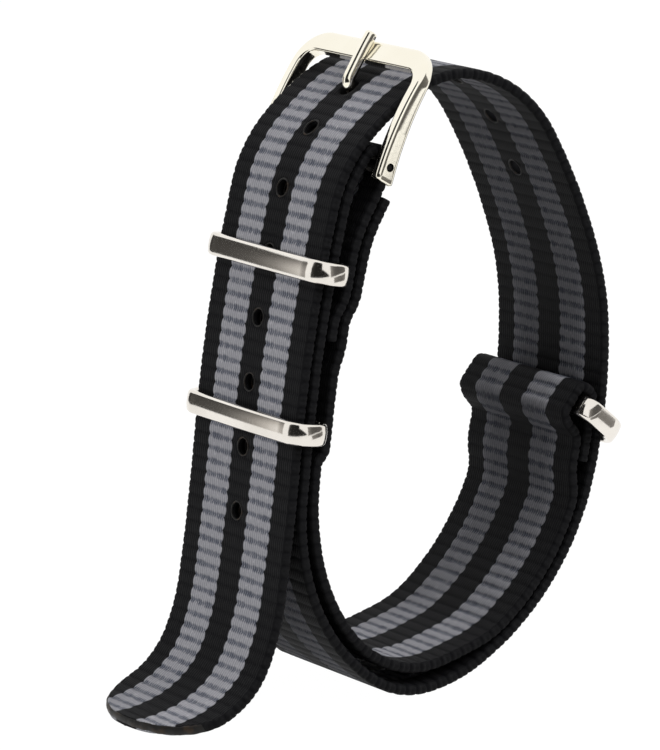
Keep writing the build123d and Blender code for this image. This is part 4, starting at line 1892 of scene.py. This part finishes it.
    def eye(self) -> bpy.types.Object:
        """The tongue's eye: a short ring with rounded rims.

        Returns:
            The ring's object.
        """
        inner, outer = self.eye_radii
        half, edge = self.eye_half_width, self.eye_edge
        profile = [(inner, -half), (outer - edge, -half)]
        for turn in np.radians(self.eye_edge_turns):
            profile.append((outer - edge + edge * sin(turn), -half + edge - edge * cos(turn)))
        profile += [(r, -y) for r, y in reversed(profile)]
        turns = np.linspace(0, 2 * pi, self.eye_sides, endpoint=False)
        return lofted("tongue_eye", np.array([
            [(r * cos(t), y, r * sin(t)) for r, y in profile] for t in turns
        ]), closed=True)


def smooth_line(marks: Sequence[tuple[float, float]], steps: int) -> np.ndarray:
    """A smooth line through marks.

    Args:
        marks: The marks, one x and z each.
        steps: How many points it has from each mark to the next.

    Returns:
        Its points.
    """
    marks = np.asarray(marks, float)
    slopes = np.gradient(marks, axis=0)
    points = []
    for i in range(len(marks) - 1):
        for share in np.arange(steps) / steps:
            a, b = share * share * (3 - 2 * share), share * (1 - share)
            points.append(
                marks[i] * (1 - a) + marks[i + 1] * a
                + slopes[i] * b * (1 - share) - slopes[i + 1] * b * share
            )
    points.append(marks[-1])
    return np.array(points)


def circle_through(marks: Sequence[tuple[float, float]]) -> tuple[float, float, float]:
    """A circle through points.

    Args:
        marks: Three points, one x and z each.

    Returns:
        The centre's x and z, and the radius.
    """
    (x0, z0), (x1, z1), (x2, z2) = marks
    double = 2 * (x0 * (z1 - z2) + x1 * (z2 - z0) + x2 * (z0 - z1))
    s0, s1, s2 = x0**2 + z0**2, x1**2 + z1**2, x2**2 + z2**2
    x = (s0 * (z1 - z2) + s1 * (z2 - z0) + s2 * (z0 - z1)) / double
    z = (s0 * (x2 - x1) + s1 * (x0 - x2) + s2 * (x1 - x0)) / double
    return x, z, hypot(x0 - x, z0 - z)


@dataclass
class KeptSolids:
    """The frame's own solids that stay as they are, with finishes that suit them."""

    finishes: dict = field(default_factory=lambda: {
        # The spring bar's near-black steel is painted shade for the bar seen deep in the ear holes.
        Steel("dark_steel", (0.05, 0.048, 0.045, 1), (0.03, 0.029, 0.028, 1), 0.3, 0.15): (
            "spring_bar_tube", "spring_bar_spring", "spring_bar_plunger_left",
            "spring_bar_plunger_right",
        ),
        MeltedNylon(): ("weld_buckle_fold", "weld_keeper_channel", "weld_ring_fold"),
    })

    def dress(self) -> None:
        """Gives each solid its finish."""
        for finish, nodes in self.finishes.items():
            for node in nodes:
                for slot in bpy.data.objects[node].material_slots:
                    slot.material = finish.material()
                LOG.info("%s keeps its solid", node)


class Lamp(NamedTuple):
    """A square soft lamp that looks at the strap: its place and size in millimetres."""

    name: str
    place: tuple
    size: float
    watts: float


class Card(NamedTuple):
    """A grey card that only the steel mirrors: where it stands, its edges and its shades."""

    name: str
    azimuth: float
    span: float
    low: float
    highs: tuple
    low_distance: float
    high_distance: float
    shades: tuple


class Spot(NamedTuple):
    """A dark spot that the near leg mirrors: its middle and half sizes in the frame's axes."""

    u: float
    n: float
    half_u: float
    half_n: float


@dataclass
class Studio:
    """The pale floor, the soft lamps, the cards that the steel mirrors, and the camera."""

    buckle: Buckle
    target: tuple = (-1.03, 0.0, 35.95)
    back: tuple = (-0.539712, -0.800350, 0.261062)
    up: tuple = (0.206879, 0.174504, 0.962680)
    distance: float = 550.0
    lens: float = 237.6
    sensor: float = 36.0
    clip: tuple = (0.01, 20.0)
    floor_half: float = 3000.0
    floor_white: float = 0.25
    floor_cloud: float = 0.985
    floor_cloud_scale: float = 3.0
    floor_roughness: float = 0.9
    floor_glow: float = 1.22
    floor_share: float = 0.82
    fill: float = 0.055
    mirror_white: float = 1.06
    lamps: tuple = (
        Lamp("key", (-700.0, 0.0, 330.0), 230.0, 4.6),
        Lamp("top", (0.0, -360.0, 520.0), 420.0, 1.8),
        Lamp("side", (330.0, -420.0, 420.0), 300.0, 4.6),
    )
    card_tint: tuple = (1.0, 0.96, 0.92, 1)
    card_steps: int = 16
    cards: tuple = (
        Card("room_card", 119.0, 32.0, 12.0, (150.0,), 250.0, 250.0,
             (0.055, 0.05, 0.05, 0.05, 0.06, 0.07, 0.1, 0.3, 0.85)),
        Card("dark_card", 207.5, 85.0, 0.0,
             (1300.0,) * 10 + (300.0, 280.0, 240.0, 200.0, 150.0, 100.0, 50.0),
             700.0, 700.0, (0.05, 0.02, 0.02, 0.02, 0.03)),
        Card("front_card", 291.0, 70.0, 0.0, (250.0,), 385.0, 385.0, (0.3, 0.12, 0.1, 0.12, 0.2)),
        Card("floor_card", 298.0, 56.0, 0.5, (0.5,), 100.0, 255.0, (0.3, 0.2, 0.15, 0.2, 0.3)),
    )
    spots: tuple = (Spot(0.57, 0.6, 1.75, 0.95), Spot(6.1, 0.45, 1.2, 0.4))
    spot_steps: int = 24
    spot_level: float = 1.0
    spot_shade: float = 0.15

    def build(self) -> None:
        """Sets the whole stage."""
        self.camera()
        self.world()
        self.floor()
        for lamp in self.lamps:
            self.lamp(lamp)
        for card in self.cards:
            self.card(card)
        for number, spot in enumerate(self.spots):
            self.spot(f"spot_card_{number + 1}", spot)
        bpy.context.scene.view_settings.view_transform = "Standard"

    def camera(self) -> None:
        """The camera at the photograph's angle."""
        data = bpy.data.cameras.new("camera")
        data.sensor_fit = "VERTICAL"
        data.sensor_height = self.sensor
        data.lens = self.lens
        data.clip_start, data.clip_end = self.clip
        camera = bpy.data.objects.new("camera", data)
        bpy.context.scene.collection.objects.link(camera)
        back, up = Vector(self.back), Vector(self.up)
        turn = Matrix((up.cross(back), up, back)).transposed().to_4x4()
        place = (Vector(self.target) + back * self.distance) * MM
        camera.matrix_world = Matrix.Translation(place) @ turn
        bpy.context.scene.camera = camera

    @staticmethod
    def seen(wires: Wires) -> Value:
        """1 for the camera's rays and for those that a mirror or glass sends on.

        Args:
            wires: The wires of the tree that asks.

        Returns:
            1 or 0.
        """
        rays = wires.node("ShaderNodeLightPath").outputs
        camera, glossy, through = (
            Value(wires, rays[f"Is {kind} Ray"]) for kind in ("Camera", "Glossy", "Transmission")
        )
        return wires.math("MAXIMUM", camera, wires.math("MAXIMUM", glossy, through))

    def world(self) -> None:
        """White to the camera and to mirrors, and a plain fill for everything else."""
        world = bpy.data.worlds.new("studio")
        bpy.context.scene.world = world
        world.use_nodes = True
        wires = Wires(world.node_tree)
        strength = self.fill + self.seen(wires) * (self.mirror_white - self.fill)
        wires.fill(
            world.node_tree.nodes["Background"], {"Strength": strength, "Color": (1, 1, 1, 1)}
        )

    def floor(self) -> None:
        """A wide pale floor that keeps a faint shadow."""
        half = self.floor_half
        corners = np.array([(-half, -half, 0), (half, -half, 0), (half, half, 0), (-half, half, 0)])
        floor = linked("floor", mesh_of("floor", corners, [range(4)]))
        material = bpy.data.materials.new("floor")
        material.use_nodes = True
        nodes = material.node_tree.nodes
        wires = Wires(material.node_tree)
        place = wires.output("ShaderNodeTexCoord", "Object")
        cloud = wires.noise(place, self.floor_cloud_scale)
        white = self.floor_white
        greys = [(grey, grey, grey, 1) for grey in (white, white * self.floor_cloud)]
        shader = nodes["Principled BSDF"]
        wires.fill(shader, {
            "Base Color": wires.mixed(cloud, *greys),
            "Roughness": self.floor_roughness,
            "Specular IOR Level": 0.0,
        })
        glow = wires.output("ShaderNodeEmission", 0, {"Strength": self.floor_glow})
        share = self.seen(wires) * self.floor_share
        matt = Value(wires, shader.outputs[0])
        surface = wires.output("ShaderNodeMixShader", 0, {0: share, 1: matt, 2: glow})
        wires.fill(nodes["Material Output"], {"Surface": surface})
        floor.data.materials.append(material)

    def lamp(self, lamp: Lamp) -> None:
        """Sets one lamp, which steel doesn't mirror.

        Args:
            lamp: The lamp.
        """
        data = bpy.data.lights.new(lamp.name, "AREA")
        data.shape = "SQUARE"
        data.size = lamp.size * MM
        data.energy = lamp.watts
        made = bpy.data.objects.new(lamp.name, data)
        bpy.context.scene.collection.objects.link(made)
        made.location = Vector(lamp.place) * MM
        away = Vector(lamp.place) - Vector(self.target)
        made.rotation_euler = away.to_track_quat("Z", "Y").to_euler()
        made.visible_glossy = False

    def card(self, card: Card) -> None:
        """Sets a card on an arc round the strap, upright or lying.

        Args:
            card: The card.
        """
        count = self.card_steps + 1
        turns = np.linspace(-card.span / 2, card.span / 2, count)
        highs, shades = (
            np.interp(turns, np.linspace(turns[0], turns[-1], len(values)), values)
            for values in (card.highs, card.shades)
        )
        angles = np.radians(card.azimuth + turns)
        points = np.concatenate([
            np.column_stack([distance * np.cos(angles), distance * np.sin(angles), heights])
            for distance, heights in (
                (card.low_distance, np.full(count, card.low)), (card.high_distance, highs),
            )
        ])
        faces = [(i, i + 1, i + 1 + count, i + count) for i in range(self.card_steps)]
        self.mirrored(card.name, points, faces, np.tile(shades, 2))

    def spot(self, name: str, spot: Spot) -> None:
        """Sets a small dark card on the floor, where the near leg mirrors it beside its pin.

        Args:
            name: The card's name.
            spot: Where the leg shows it.
        """
        eye = Vector(self.target) + Vector(self.back) * self.distance
        pin, turn = self.buckle.layout.pin, radians(self.buckle.frame_angle)
        points = []
        for angle in np.linspace(0, 2 * pi, self.spot_steps, endpoint=False):
            u, n = spot.u + spot.half_u * cos(angle), spot.n + spot.half_n * sin(angle)
            place = Vector((
                pin.x + u * cos(turn) - n * sin(turn), -self.buckle.half_width,
                pin.z + u * sin(turn) + n * cos(turn),
            ))
            ray = (place - eye) * Vector((1, -1, 1))
            on_floor = place - ray * (place.z / ray.z)
            points.append((on_floor.x, on_floor.y, self.spot_level))
        shades = np.full(self.spot_steps, self.spot_shade)
        self.mirrored(name, np.array(points), [range(self.spot_steps)], shades)

    def mirrored(self, name: str, points: np.ndarray, faces: Sequence, shades: np.ndarray) -> None:
        """A glowing sheet that neither the camera nor the webbing sees.

        Args:
            name: The sheet's name.
            points: Its points, in millimetres.
            faces: Its faces.
            shades: How brightly each point glows.
        """
        card = linked(name, mesh_of(name, points, faces))
        marked(card.data, "shade", "FLOAT", shades)
        material = bpy.data.materials.new(name)
        material.use_nodes = True
        wires = Wires(material.node_tree)
        shade = wires.output("ShaderNodeAttribute", "Fac", attribute_name="shade")
        glow = wires.output("ShaderNodeEmission", 0, {"Color": self.card_tint, "Strength": shade})
        wires.fill(material.node_tree.nodes["Material Output"], {"Surface": glow})
        card.data.materials.append(material)
        card.visible_camera = card.visible_diffuse = card.visible_shadow = False


def main() -> None:
    """Builds the strap's pieces in order, then the studio."""
    logging.basicConfig(level=logging.INFO, format="%(message)s")
    layout = StrapLayout()
    LOG.info("long strap %.1f mm, short strap %.1f mm", layout.long.length, layout.short.length)
    webbing = Webbing(layout)
    webbing.build()
    MeltedEdges(layout, webbing).build()
    KeeperRings(layout).build()
    buckle = Buckle(layout)
    buckle.build()
    KeptSolids().dress()
    Studio(buckle).build()


if __name__ == "__main__":
    main()
